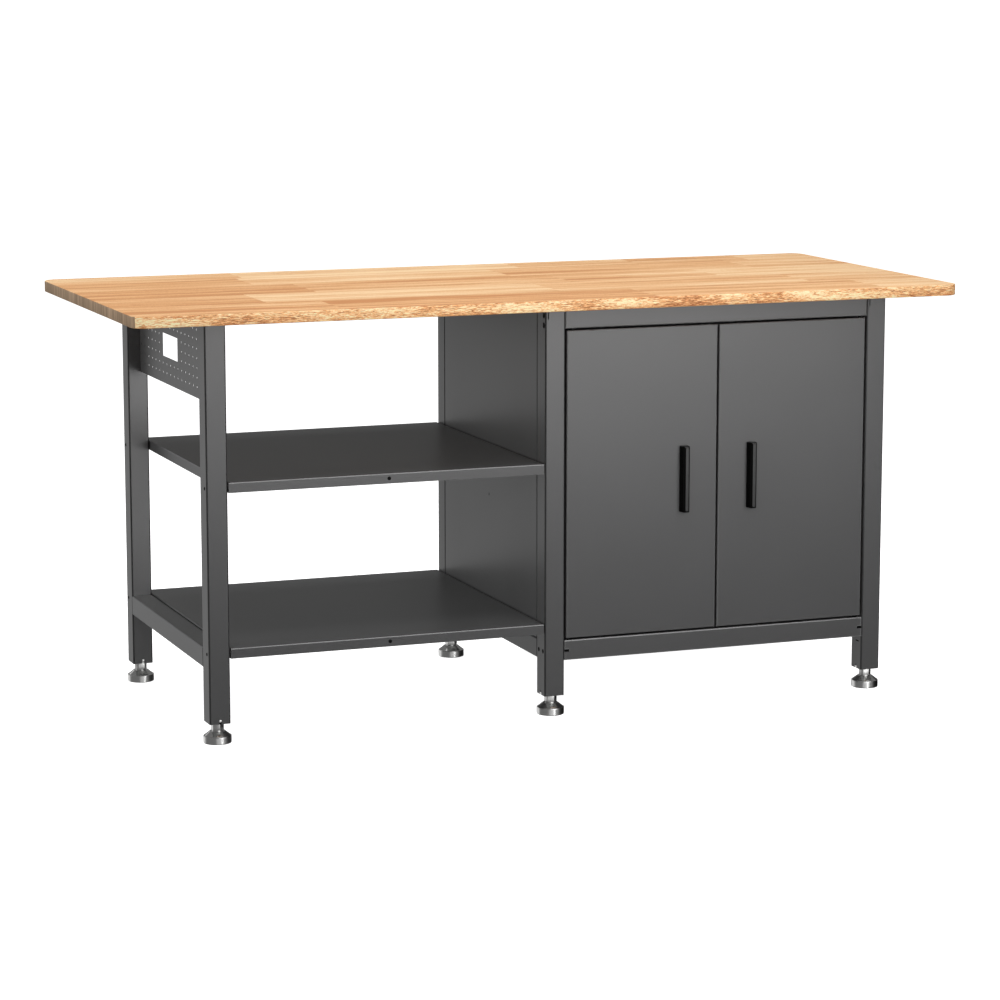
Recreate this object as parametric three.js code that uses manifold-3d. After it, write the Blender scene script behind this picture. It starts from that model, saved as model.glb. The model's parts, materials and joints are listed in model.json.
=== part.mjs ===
// A steel workbench with a laminated wooden worktop, two open shelves on the left and a two-door cabinet
// on the right. Millimetres, +Z up. The origin is on the floor under the middle of the worktop, +X runs along
// the bench to the right and -Y looks out of the front.

import * as THREE from "three";
import { mergeVertices } from "three/addons/utils/BufferGeometryUtils.js";
import Module from "manifold-3d";

const wasm = await Module();
wasm.setup();

// Worktop
const WORKTOP_LENGTH = 1830;
const WORKTOP_DEPTH = 800;
const WORKTOP_THICKNESS = 24;
const WORKTOP_CORNER_RADIUS = 30;
const WORKTOP_EDGE_ROUND = 2;
const BENCH_HEIGHT = 905;

// Frame layout
const LEFT_OVERHANG = 175;
const FRONT_OVERHANG = 117;
const REAR_OVERHANG = 9;
const OPEN_BAY_WIDTH = 695;
const CABINET_BAY_WIDTH = 707;

// Legs and side rails, square tube with rounded edges
const LEG_WIDTH = 45;
const LEG_DEPTH = 48;
const TUBE_WALL = 2;
const TUBE_EDGE_RADIUS = 3;
const RAIL_HEIGHT = 43;
const OPEN_RAIL_BOTTOM = 155.5;
const CABINET_BASE_BOTTOM = 119.5;
const LEG_NOTCH_WIDTH = 5;
const LEG_NOTCH_HEIGHT = 9;
const LEG_SLIT_WIDTH = 2.5;
const LEG_SLIT_LENGTH = 29;
const LEG_SLIT_INSET = 5;
const LEG_PORT_RADIUS = 6.5;
const LEG_PORT_INSET = 10;
const LEG_PORT_DROP = 21;
const LEG_PORT_PITCH = 21;

// Levelling feet
const FOOT_HEIGHT = 43;
const FOOT_BASE_RADIUS = 29.5;
const FOOT_BASE_HEIGHT = 16;
const FOOT_BASE_CHAMFER = 1.5;
const FOOT_CONE_TOP_RADIUS = 14;
const FOOT_CONE_TOP = 27;
const FOOT_HEX_ACROSS_FLATS = 24;
const FOOT_STUD_RADIUS = 6;
const FOOT_STUD_LENGTH = 42;
const LEG_PLUG_THICKNESS = 8;

// Folded sheet steel
const SHEET = 1.5;
const BEND_RADIUS = 2.5;
const PANEL_FOLD = 20;
const SHELF_LIP = 22;
const SHELF_SIDE_GAP = 2;
const SHELF_BOLT_INSET = 10.5;
const SHELF_BOSS_RADIUS = 3;
const SHELF_LIP_HOLE_RADIUS = 3.5;
const MIDDLE_SHELF_TOP = 546;
const BOTTOM_SHELF_TOP = 201;
const TOP_RAIL_HEIGHT = 50;
const TOP_RAIL_FOLD = 45;
const REAR_RAIL_FOLD = 30;

// Perforated end panel with its socket cut-out
const PERFORATED_PANEL_HEIGHT = 182;
const PERFORATED_PANEL_INSET = 28;
const PERFORATED_SHEET = 1;
const PERFORATION_RADIUS = 3;
const PERFORATION_PITCH_ALONG = 30;
const PERFORATION_PITCH_UP = 20;
const PERFORATION_FIRST_ROW = 24;
const PERFORATION_TOP_MARGIN = 20;
const PERFORATION_REAR_MARGIN = 14;
const PERFORATION_CUT_MARGIN = 1.5;
const SOCKET_CUT_WIDTH = 120;
const SOCKET_CUT_HEIGHT = 50;
const SOCKET_CUT_COLUMN = 8;
const SOCKET_CUT_ROW = 3;

// Cabinet
const CABINET_SHELF_TOP = 438;
const CABINET_SHELF_FRONT = 52;
const CABINET_SHELF_REAR_GAP = 3;
const SHELF_BRACKET_LENGTH = 240;
const SHELF_BRACKET_HEIGHT = 28;
const SHELF_BRACKET_REACH = 25;
const FLOOR_SLOT_LENGTH = 11;
const FLOOR_SLOT_HEIGHT = 3.5;

// Doors
const DOOR_GAP = 4;
const DOOR_DEPTH = 20;
const HINGE_FROM_EDGE = 10;
const HINGE_FROM_FACE = 8;
const HINGE_PIN_RADIUS = 3.5;
const HINGE_HEAD_RADIUS = 5.5;
const HINGE_HEAD_HEIGHT = 3;
const HINGE_PIN_REACH = 14;
const HINGE_TAIL = 6;
const STIFFENER_WEB = 46;
const STIFFENER_FLANGE = 14;
const STIFFENER_DEPTH = 14;

// Handles
const HANDLE_LENGTH = 144;
const HANDLE_PROJECTION = 19;
const HANDLE_BASE_WIDTH = 20;
const HANDLE_BEAD_WIDTH = 12;
const HANDLE_NECK_WIDTH = 8;
const HANDLE_BASE_THICKNESS = 3;
const HANDLE_EDGE_RADIUS = 2.5;
const HANDLE_END_RADIUS = 5;
const HANDLE_FROM_MEETING_EDGE = 77;
const HANDLE_CENTRE_HEIGHT = 497;

// Magnetic catch
const CATCH_LENGTH = 64;
const CATCH_DEPTH = 18;
const CATCH_HEIGHT = 14;
const STRIKE_LENGTH = 24;
const STRIKE_HEIGHT = 16;
const STRIKE_TOP_LEG = 13;
const STRIKE_FROM_MEETING_EDGE = 5;

// Gap between pieces that are bolted, pushed or slid together
const FIT = 0.3;

// Extra length on a cutting solid, so that it passes clean through
const OVERCUT = 10;

// Facet counts
const BEND_STEPS = 1;
const CORNER_STEPS = 5;
const ROUND_STEPS = 24;
const SMALL_ROUND_STEPS = 12;
const PERFORATION_STEPS = 8;
const HANDLE_STEPS = 4;
const HEXAGON_SIDES = 6;

// Heights and places worked out from the sizes above
const UNDER_WORKTOP = BENCH_HEIGHT - WORKTOP_THICKNESS;
const LEFT_LEG_X = -WORKTOP_LENGTH / 2 + LEFT_OVERHANG;
const MIDDLE_LEG_X = LEFT_LEG_X + LEG_WIDTH + OPEN_BAY_WIDTH;
const RIGHT_LEG_X = MIDDLE_LEG_X + LEG_WIDTH + CABINET_BAY_WIDTH;
const OPEN_BAY_X = LEFT_LEG_X + LEG_WIDTH;
const CABINET_BAY_X = MIDDLE_LEG_X + LEG_WIDTH;
const FRAME_DEPTH = WORKTOP_DEPTH - FRONT_OVERHANG - REAR_OVERHANG;
const FRONT_Y = -WORKTOP_DEPTH / 2 + FRONT_OVERHANG;
const BACK_Y = FRONT_Y + FRAME_DEPTH;
const MIDDLE_Y = (FRONT_Y + BACK_Y) / 2;
const BETWEEN_LEGS = FRAME_DEPTH - 2 * LEG_DEPTH;
const CABINET_FLOOR_TOP = CABINET_BASE_BOTTOM + RAIL_HEIGHT;
const TOP_RAIL_BOTTOM = UNDER_WORKTOP - TOP_RAIL_HEIGHT;
const DOOR_BOTTOM = CABINET_FLOOR_TOP + DOOR_GAP;
const DOOR_TOP = TOP_RAIL_BOTTOM - DOOR_GAP;
const DOOR_HEIGHT = DOOR_TOP - DOOR_BOTTOM;
const DOOR_WIDTH = (CABINET_BAY_WIDTH - 3 * DOOR_GAP) / 2;
const MEETING_X = CABINET_BAY_X + CABINET_BAY_WIDTH / 2;

// Which way a folded panel looks: turns about Z from facing the front
const TO_FRONT = 0;
const TO_RIGHT = Math.PI / 2;
const TO_BACK = Math.PI;
const TO_LEFT = -Math.PI / 2;

const bench = new THREE.Group();

// Finishes
const finishes = {
  wood: { color: 0xd9a066, roughness: 0.55, metalness: 0 },
  greyPaint: { color: 0x4a4b4c, roughness: 0.5, metalness: 0.2 },
  nickel: { color: 0xc9c9c6, roughness: 0.18, metalness: 1 },
  zinc: { color: 0xb4b6b4, roughness: 0.35, metalness: 0.9 },
  blackPlastic: { color: 0x141414, roughness: 0.4, metalness: 0 },
  blackSteel: { color: 0x1c1c1d, roughness: 0.45, metalness: 0.7 },
};

function addPiece(name, geometry, finish, x = 0, y = 0, z = 0) {
  const mesh = new THREE.Mesh(geometry, new THREE.MeshStandardMaterial(finishes[finish]));
  mesh.name = name;
  mesh.position.set(x, y, z);
  bench.add(mesh);
  return mesh;
}

// Stands a flat-modelled panel upright, its face turned the given way.
function addUpright(name, geometry, finish, facing, x, y, z) {
  const mesh = addPiece(name, geometry, finish, x, y, z);
  mesh.rotation.set(Math.PI / 2, 0, facing, "ZYX");
  return mesh;
}

// Solids for joining and cutting
function solidOf(geometry) {
  const bare = geometry.clone();
  bare.deleteAttribute("normal");
  bare.deleteAttribute("uv");
  const welded = mergeVertices(bare);
  const vertProperties = Float32Array.from(welded.attributes.position.array);
  const triVerts = Uint32Array.from(welded.index.array);
  return new wasm.Manifold(new wasm.Mesh({ numProp: 3, vertProperties, triVerts }));
}

function geometryOf(solid) {
  const { vertProperties, triVerts, numProp } = solid.getMesh();
  const corners = new Float32Array(triVerts.length * 3);
  triVerts.forEach((vertex, corner) => {
    for (let axis = 0; axis < 3; axis += 1) {
      corners[corner * 3 + axis] = vertProperties[vertex * numProp + axis];
    }
  });
  const geometry = new THREE.BufferGeometry();
  geometry.setAttribute("position", new THREE.BufferAttribute(corners, 3));
  geometry.computeVertexNormals();
  return geometry;
}

function block(width, depth, height, x, y, z) {
  return solidOf(new THREE.BoxGeometry(width, depth, height).translate(x, y, z));
}

// A round bar between two heights on the Z axis through x, y.
function upright(radius, bottom, top, x, y, steps = SMALL_ROUND_STEPS) {
  const bar = new THREE.CylinderGeometry(radius, radius, top - bottom, steps);
  bar.rotateX(Math.PI / 2).translate(x, y, (bottom + top) / 2);
  return solidOf(bar);
}

// A round bar along the X axis, centred on x, y, z.
function crossbar(radius, length, x, y, z) {
  const bar = new THREE.CylinderGeometry(radius, radius, length, SMALL_ROUND_STEPS);
  bar.rotateZ(Math.PI / 2).translate(x, y, z);
  return solidOf(bar);
}

// A round bar along the Y axis, centred on x, y, z.
function throughBar(radius, length, x, y, z) {
  const bar = new THREE.CylinderGeometry(radius, radius, length, SMALL_ROUND_STEPS);
  return solidOf(bar.translate(x, y, z));
}

function extrude(shape, depth, curveSegments = BEND_STEPS) {
  return new THREE.ExtrudeGeometry(shape, { depth, bevelEnabled: false, curveSegments });
}

// Turns a profile drawn in X and Z, extruded along Z by three.js, to run along Y about the origin.
function extrudeAlongY(shape, length, curveSegments) {
  return extrude(shape, length, curveSegments).rotateX(Math.PI / 2).translate(0, length / 2, 0);
}

function roundedRectangle(width, height, radius, path = new THREE.Shape()) {
  const right = width / 2 - radius;
  const top = height / 2 - radius;
  path.absarc(right, top, radius, 0, Math.PI / 2, false);
  path.absarc(-right, top, radius, Math.PI / 2, Math.PI, false);
  path.absarc(-right, -top, radius, Math.PI, 1.5 * Math.PI, false);
  path.absarc(right, -top, radius, 1.5 * Math.PI, 2 * Math.PI, false);
  path.closePath();
  return path;
}

// The wall of a square tube with rounded edges.
function tubeSection(width, height) {
  const section = roundedRectangle(width, height, TUBE_EDGE_RADIUS);
  const inside = [width - 2 * TUBE_WALL, height - 2 * TUBE_WALL];
  section.holes.push(roundedRectangle(...inside, TUBE_EDGE_RADIUS - TUBE_WALL, new THREE.Path()));
  return section;
}

// The outline across a folded panel: a flat face at zero, its two edges bent back by the depth.
function foldOutline(width, depth, bend) {
  const half = width / 2;
  const outline = new THREE.Shape();
  outline.moveTo(-half, -depth);
  outline.lineTo(half, -depth);
  outline.absarc(half - bend, -bend, bend, 0, Math.PI / 2, false);
  outline.absarc(-half + bend, -bend, bend, Math.PI / 2, Math.PI, false);
  outline.closePath();
  return outline;
}

function foldedBlock(width, height, depth, bend) {
  const acrossWidth = extrudeAlongY(foldOutline(width, depth, bend), height);
  const acrossHeight = extrudeAlongY(foldOutline(height, depth, bend), width).rotateZ(Math.PI / 2);
  return solidOf(acrossWidth).intersect(solidOf(acrossHeight));
}

// A sheet-steel pan: a flat face in XY that looks along +Z, with all four edges folded back along -Z.
function pan(width, height, depth, sheet = SHEET) {
  const cavity = foldedBlock(width - 2 * sheet, height - 2 * sheet, depth, BEND_RADIUS - sheet);
  return foldedBlock(width, height, depth, BEND_RADIUS).subtract(cavity.translate(0, 0, -sheet));
}

// Worktop: glued-up boards with round corners and eased edges, one slab.
function worktop() {
  const ease = WORKTOP_EDGE_ROUND;
  const size = [WORKTOP_LENGTH - 2 * ease, WORKTOP_DEPTH - 2 * ease];
  const slab = new THREE.ExtrudeGeometry(roundedRectangle(...size, WORKTOP_CORNER_RADIUS - ease), {
    depth: WORKTOP_THICKNESS - 2 * ease,
    bevelSize: ease,
    bevelThickness: ease,
    bevelSegments: 2,
    curveSegments: CORNER_STEPS,
  });
  addPiece("worktop", slab, "wood", 0, 0, UNDER_WORKTOP + ease);
}

// Legs: square tubes with a drain notch at the foot, plugged below and closed above by the worktop.
const legRows = [
  { row: "front", y: FRONT_Y + LEG_DEPTH / 2, outward: -1 },
  { row: "rear", y: BACK_Y - LEG_DEPTH / 2, outward: 1 },
];
const legColumns = [
  { column: "left", x: LEFT_LEG_X + LEG_WIDTH / 2 },
  { column: "middle", x: MIDDLE_LEG_X + LEG_WIDTH / 2 },
  { column: "right", x: RIGHT_LEG_X + LEG_WIDTH / 2 },
];

// The round-topped notch, in the front wall of the left legs and the left wall of the others.
function legNotch(column) {
  const reach = TUBE_WALL + OVERCUT;
  const radius = LEG_NOTCH_WIDTH / 2;
  const top = FOOT_HEIGHT + LEG_NOTCH_HEIGHT - radius;
  const height = LEG_NOTCH_HEIGHT - radius + OVERCUT;
  const z = top - height / 2;
  if (column === "left") {
    const y = -(LEG_DEPTH + OVERCUT - TUBE_WALL) / 2;
    return block(LEG_NOTCH_WIDTH, reach, height, 0, y, z).add(throughBar(radius, reach, 0, y, top));
  }
  const x = -(LEG_WIDTH + OVERCUT - TUBE_WALL) / 2;
  return block(reach, LEG_NOTCH_WIDTH, height, x, 0, z).add(crossbar(radius, reach, x, 0, top));
}

// The narrow relief slit at the top of the two front legs beside the doors.
function legSlit() {
  const x = -LEG_WIDTH / 2 + LEG_SLIT_INSET + LEG_SLIT_WIDTH / 2;
  const y = -(LEG_DEPTH + OVERCUT - TUBE_WALL) / 2;
  const length = LEG_SLIT_LENGTH + OVERCUT;
  const z = UNDER_WORKTOP - LEG_SLIT_LENGTH + length / 2;
  return block(LEG_SLIT_WIDTH, TUBE_WALL + OVERCUT, length, x, y, z);
}

// The two round ports in the left wall of a middle leg, just under the worktop.
function legPorts(outward) {
  const x = -(LEG_WIDTH + OVERCUT - TUBE_WALL) / 2;
  const y = outward * (LEG_DEPTH / 2 - LEG_PORT_INSET);
  const top = UNDER_WORKTOP - LEG_PORT_DROP;
  const reach = TUBE_WALL + OVERCUT;
  const upper = crossbar(LEG_PORT_RADIUS, reach, x, y, top);
  return upper.add(crossbar(LEG_PORT_RADIUS, reach, x, y, top - LEG_PORT_PITCH));
}

function leg(row, column, outward) {
  const height = UNDER_WORKTOP - FOOT_HEIGHT;
  const tube = extrude(tubeSection(LEG_WIDTH, LEG_DEPTH), height).translate(0, 0, FOOT_HEIGHT);
  let solid = solidOf(tube).subtract(legNotch(column));
  if (column === "middle") solid = solid.subtract(legPorts(outward));
  if (row === "front" && column !== "left") solid = solid.subtract(legSlit());
  return geometryOf(solid);
}

function legPlug() {
  const width = LEG_WIDTH - 2 * TUBE_WALL - 2 * FIT;
  const depth = LEG_DEPTH - 2 * TUBE_WALL - 2 * FIT;
  const plate = roundedRectangle(width, depth, TUBE_EDGE_RADIUS - TUBE_WALL);
  const hole = new THREE.Path();
  hole.absarc(0, 0, FOOT_STUD_RADIUS + FIT, 0, 2 * Math.PI, false);
  plate.holes.push(hole);
  return extrude(plate, LEG_PLUG_THICKNESS, SMALL_ROUND_STEPS).translate(0, 0, FOOT_HEIGHT);
}

// Levelling foot: a turned base with a cone, a hexagon for the spanner and a stud that screws into the plug.
function levellingFoot() {
  const profile = [
    [0, 0],
    [FOOT_BASE_RADIUS - FOOT_BASE_CHAMFER, 0],
    [FOOT_BASE_RADIUS, FOOT_BASE_CHAMFER],
    [FOOT_BASE_RADIUS, FOOT_BASE_HEIGHT - FOOT_BASE_CHAMFER],
    [FOOT_BASE_RADIUS - FOOT_BASE_CHAMFER, FOOT_BASE_HEIGHT],
    [FOOT_CONE_TOP_RADIUS, FOOT_CONE_TOP],
    [0, FOOT_CONE_TOP],
  ].map(([radius, height]) => new THREE.Vector2(radius, height));
  const base = solidOf(new THREE.LatheGeometry(profile, ROUND_STEPS).rotateX(Math.PI / 2));
  const hexRadius = FOOT_HEX_ACROSS_FLATS / Math.sqrt(3);
  const hexagon = upright(hexRadius, FOOT_BASE_HEIGHT, FOOT_HEIGHT, 0, 0, HEXAGON_SIDES);
  const stud = upright(FOOT_STUD_RADIUS, FOOT_BASE_HEIGHT, FOOT_HEIGHT + FOOT_STUD_LENGTH, 0, 0);
  return geometryOf(base.add(hexagon).add(stud));
}

function legsAndFeet() {
  for (const { row, y, outward } of legRows) {
    for (const { column, x } of legColumns) {
      addPiece(`leg_${row}_${column}`, leg(row, column, outward), "greyPaint", x, y);
      addPiece(`leg_plug_${row}_${column}`, legPlug(), "zinc", x, y);
      addPiece(`foot_${row}_${column}`, levellingFoot(), "nickel", x, y);
    }
  }
}

// Low rails that tie each front leg to the leg behind it.
function sideRails() {
  const rail = () => extrudeAlongY(tubeSection(LEG_WIDTH, RAIL_HEIGHT), BETWEEN_LEGS - 2 * FIT);
  for (const { column, x } of legColumns) {
    const bottom = column === "left" ? OPEN_RAIL_BOTTOM : CABINET_BASE_BOTTOM;
    addPiece(`side_rail_${column}`, rail(), "greyPaint", x, MIDDLE_Y, bottom + RAIL_HEIGHT / 2);
  }
}

// Open shelves: trays with a folded lip, held off the legs by a boss at each of the four bolts.
function openShelf(name, top) {
  const width = OPEN_BAY_WIDTH - 2 * SHELF_SIDE_GAP;
  const bossLength = SHELF_SIDE_GAP - FIT + SHEET;
  let tray = pan(width, FRAME_DEPTH, SHELF_LIP);
  for (const side of [-1, 1]) {
    for (const end of [-1, 1]) {
      const x = side * (width / 2 - SHEET + bossLength / 2);
      const y = end * (FRAME_DEPTH / 2 - SHELF_BOLT_INSET);
      tray = tray.add(crossbar(SHELF_BOSS_RADIUS, bossLength, x, y, -SHELF_LIP / 2));
    }
  }
  const holeLength = SHEET + OVERCUT;
  const holeY = -FRAME_DEPTH / 2;
  tray = tray.subtract(throughBar(SHELF_LIP_HOLE_RADIUS, holeLength, 0, holeY, -SHELF_LIP / 2));
  addPiece(name, geometryOf(tray), "greyPaint", OPEN_BAY_X + OPEN_BAY_WIDTH / 2, MIDDLE_Y, top);
}

// Perforated end panel under the left overhang, set in from the outer faces of the legs and flush with their
// inner ones, with a cut-out for a socket box. Columns of holes count from the rear, rows from the bottom.
function perforatedPanel() {
  const width = BETWEEN_LEGS - 2 * FIT;
  const height = PERFORATED_PANEL_HEIGHT - FIT;
  const lastColumn = Math.floor((width - 2 * PERFORATION_REAR_MARGIN) / PERFORATION_PITCH_ALONG);
  const rowSpan = height - PERFORATION_FIRST_ROW - PERFORATION_TOP_MARGIN;
  const lastRow = Math.floor(rowSpan / PERFORATION_PITCH_UP);
  const columnX = (column) => -width / 2 + PERFORATION_REAR_MARGIN + column * PERFORATION_PITCH_ALONG;
  const rowY = (row) => -height / 2 + PERFORATION_FIRST_ROW + row * PERFORATION_PITCH_UP;
  const cutX = columnX(SOCKET_CUT_COLUMN);
  const cutY = rowY(SOCKET_CUT_ROW);
  const clearX = SOCKET_CUT_WIDTH / 2 + PERFORATION_RADIUS + PERFORATION_CUT_MARGIN;
  const clearY = SOCKET_CUT_HEIGHT / 2 + PERFORATION_RADIUS + PERFORATION_CUT_MARGIN;
  const holes = [];
  for (let column = 0; column <= lastColumn; column += 1) {
    for (let row = 0; row <= lastRow; row += 1) {
      const x = columnX(column);
      const y = rowY(row);
      const overCut = Math.abs(x - cutX) < clearX && Math.abs(y - cutY) < clearY;
      if (!overCut) holes.push(upright(PERFORATION_RADIUS, -OVERCUT, OVERCUT, x, y, PERFORATION_STEPS));
    }
  }
  const cutOut = block(SOCKET_CUT_WIDTH, SOCKET_CUT_HEIGHT, 2 * OVERCUT, cutX, cutY, 0);
  const plain = pan(width, height, LEG_WIDTH - PERFORATED_PANEL_INSET, PERFORATED_SHEET);
  const panel = plain.subtract(wasm.Manifold.union([cutOut, ...holes]));
  const x = LEFT_LEG_X + PERFORATED_PANEL_INSET;
  const z = UNDER_WORKTOP - PERFORATED_PANEL_HEIGHT + height / 2;
  addUpright("perforated_panel", geometryOf(panel), "greyPaint", TO_LEFT, x, MIDDLE_Y, z);
}

// Rear rail under the worktop, across the open bay.
function rearRail() {
  const rail = pan(OPEN_BAY_WIDTH - 2 * FIT, TOP_RAIL_HEIGHT - FIT, REAR_RAIL_FOLD);
  const x = OPEN_BAY_X + OPEN_BAY_WIDTH / 2;
  const z = TOP_RAIL_BOTTOM + (TOP_RAIL_HEIGHT - FIT) / 2;
  addUpright("rear_rail", geometryOf(rail), "greyPaint", TO_BACK, x, BACK_Y, z);
}

// Cabinet walls between the legs, from the side rails up to the worktop.
function cabinetWalls() {
  const bottom = CABINET_FLOOR_TOP + FIT;
  const height = UNDER_WORKTOP - FIT - bottom;
  const z = bottom + height / 2;
  const side = geometryOf(pan(BETWEEN_LEGS - 2 * FIT, height, PANEL_FOLD));
  addUpright("side_panel_middle", side, "greyPaint", TO_LEFT, MIDDLE_LEG_X, MIDDLE_Y, z);
  addUpright("side_panel_right", side.clone(), "greyPaint", TO_RIGHT, RIGHT_LEG_X + LEG_WIDTH, MIDDLE_Y, z);
  const back = geometryOf(pan(CABINET_BAY_WIDTH - 2 * FIT, height, PANEL_FOLD));
  addUpright("back_panel", back, "greyPaint", TO_BACK, MEETING_X, BACK_Y, z);
}

const hingeX = DOOR_WIDTH / 2 - HINGE_FROM_EDGE;
const hingeAxes = [-1, 1].map((side) => side * (DOOR_GAP / 2 + DOOR_WIDTH - HINGE_FROM_EDGE));
const hingeHole = HINGE_PIN_RADIUS + FIT;

// Cabinet floor: a tray whose deep front lip closes the cabinet below the doors.
function cabinetFloor() {
  const width = CABINET_BAY_WIDTH - 2 * FIT;
  let tray = pan(width, FRAME_DEPTH, RAIL_HEIGHT);
  const slotLength = FLOOR_SLOT_LENGTH + OVERCUT;
  for (const side of [-1, 1]) {
    const x = side * (width / 2 - FLOOR_SLOT_LENGTH + slotLength / 2);
    const slotDepth = BEND_RADIUS + OVERCUT;
    const y = -FRAME_DEPTH / 2 + BEND_RADIUS - slotDepth / 2;
    tray = tray.subtract(block(slotLength, slotDepth, FLOOR_SLOT_HEIGHT, x, y, -RAIL_HEIGHT / 2));
  }
  for (const x of hingeAxes) {
    tray = tray.subtract(upright(hingeHole, -OVERCUT, OVERCUT, x, -FRAME_DEPTH / 2 + HINGE_FROM_FACE));
  }
  addPiece("cabinet_floor", geometryOf(tray), "greyPaint", MEETING_X, MIDDLE_Y, CABINET_FLOOR_TOP);
}

// Front rail over the doors: an open channel that carries the upper hinge pins and the catch.
function cabinetTopRail() {
  const height = TOP_RAIL_HEIGHT - FIT;
  let rail = pan(CABINET_BAY_WIDTH - 2 * FIT, height, TOP_RAIL_FOLD);
  for (const x of hingeAxes) {
    rail = rail.subtract(throughBar(hingeHole, 2 * OVERCUT, x, -height / 2, -HINGE_FROM_FACE));
  }
  const z = TOP_RAIL_BOTTOM + height / 2;
  addUpright("cabinet_top_rail", geometryOf(rail), "greyPaint", TO_FRONT, MEETING_X, FRONT_Y, z);
}

// Shelf inside the cabinet, resting on an angle bracket bolted to each side panel.
function cabinetShelf() {
  const width = CABINET_BAY_WIDTH - 2 * SHELF_SIDE_GAP;
  const front = FRONT_Y + CABINET_SHELF_FRONT;
  const back = BACK_Y - PANEL_FOLD - CABINET_SHELF_REAR_GAP;
  const tray = geometryOf(pan(width, back - front, SHELF_LIP));
  addPiece("cabinet_shelf", tray, "greyPaint", MEETING_X, (front + back) / 2, CABINET_SHELF_TOP);
  const reach = LEG_WIDTH - SHEET - FIT + SHELF_SIDE_GAP + SHELF_BRACKET_REACH;
  const angle = new THREE.Shape();
  angle.moveTo(0, -SHEET);
  angle.lineTo(reach, -SHEET);
  angle.lineTo(reach, 0);
  angle.lineTo(SHEET, 0);
  angle.lineTo(SHEET, SHELF_BRACKET_HEIGHT);
  angle.lineTo(0, SHELF_BRACKET_HEIGHT);
  angle.closePath();
  const z = CABINET_SHELF_TOP - SHELF_LIP;
  const seats = [
    { side: "left", x: MIDDLE_LEG_X + SHEET + FIT, turn: 0 },
    { side: "right", x: RIGHT_LEG_X + LEG_WIDTH - SHEET - FIT, turn: Math.PI },
  ];
  for (const { side, x, turn } of seats) {
    const bracket = extrudeAlongY(angle, SHELF_BRACKET_LENGTH);
    addPiece(`shelf_bracket_${side}`, bracket, "zinc", x, MIDDLE_Y, z).rotation.z = turn;
  }
}

// Hat-section stiffener down the inside of a door, behind the handle.
function stiffenerSection() {
  const web = STIFFENER_WEB / 2;
  const brim = web + STIFFENER_FLANGE;
  const outline = new THREE.Shape();
  outline.moveTo(-brim, 0);
  outline.lineTo(-web, 0);
  outline.lineTo(-web, STIFFENER_DEPTH - SHEET);
  outline.lineTo(web, STIFFENER_DEPTH - SHEET);
  outline.lineTo(web, 0);
  outline.lineTo(brim, 0);
  outline.lineTo(brim, SHEET);
  outline.lineTo(web + SHEET, SHEET);
  outline.lineTo(web + SHEET, STIFFENER_DEPTH);
  outline.lineTo(-web - SHEET, STIFFENER_DEPTH);
  outline.lineTo(-web - SHEET, SHEET);
  outline.lineTo(-brim, SHEET);
  outline.closePath();
  return outline;
}

// Handle: a pull with a broad base, a finger groove down each side and a rounded bead at the front.
function handleSection() {
  const base = HANDLE_BASE_WIDTH / 2;
  const bead = HANDLE_BEAD_WIDTH / 2;
  const groove = base - HANDLE_NECK_WIDTH / 2;
  const grooveHeight = HANDLE_BASE_THICKNESS + groove;
  const grooveEnd = Math.acos((bead - base) / groove);
  const edge = HANDLE_EDGE_RADIUS;
  const shoulder = HANDLE_PROJECTION - edge;
  const section = new THREE.Shape();
  section.moveTo(-base, 0);
  section.lineTo(base, 0);
  section.absarc(base, grooveHeight, groove, 1.5 * Math.PI, grooveEnd, true);
  section.absarc(bead - edge, shoulder, edge, 0, Math.PI / 2, false);
  section.absarc(-bead + edge, shoulder, edge, Math.PI / 2, Math.PI, false);
  section.absarc(-base, grooveHeight, groove, Math.PI - grooveEnd, -Math.PI / 2, true);
  section.closePath();
  return section;
}

function handle() {
  const bar = solidOf(extrudeAlongY(handleSection(), HANDLE_LENGTH, HANDLE_STEPS));
  const outline = roundedRectangle(HANDLE_BASE_WIDTH, HANDLE_LENGTH, HANDLE_END_RADIUS);
  const ends = extrude(outline, HANDLE_PROJECTION, HANDLE_STEPS);
  return geometryOf(bar.intersect(solidOf(ends)));
}

// Hinge pins: the upper pin hangs by its head in the top rail, the lower one carries the door on its collar.
function turnedPin(steps) {
  const profile = steps.map(([radius, height]) => new THREE.Vector2(radius, height));
  return new THREE.LatheGeometry(profile, SMALL_ROUND_STEPS).rotateX(Math.PI / 2);
}

function upperPin() {
  const headBottom = TOP_RAIL_BOTTOM + SHEET;
  const headTop = headBottom + HINGE_HEAD_HEIGHT;
  const tip = DOOR_TOP - HINGE_PIN_REACH;
  return turnedPin([
    [0, tip],
    [HINGE_PIN_RADIUS, tip],
    [HINGE_PIN_RADIUS, headBottom],
    [HINGE_HEAD_RADIUS, headBottom],
    [HINGE_HEAD_RADIUS, headTop],
    [0, headTop],
  ]);
}

function lowerPin() {
  const tail = CABINET_FLOOR_TOP - HINGE_TAIL;
  const collarTop = DOOR_BOTTOM - FIT;
  const tip = DOOR_BOTTOM + HINGE_PIN_REACH;
  return turnedPin([
    [0, tail],
    [HINGE_PIN_RADIUS, tail],
    [HINGE_PIN_RADIUS, CABINET_FLOOR_TOP],
    [HINGE_HEAD_RADIUS, CABINET_FLOOR_TOP],
    [HINGE_HEAD_RADIUS, collarTop],
    [HINGE_PIN_RADIUS, collarTop],
    [HINGE_PIN_RADIUS, tip],
    [0, tip],
  ]);
}

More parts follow.
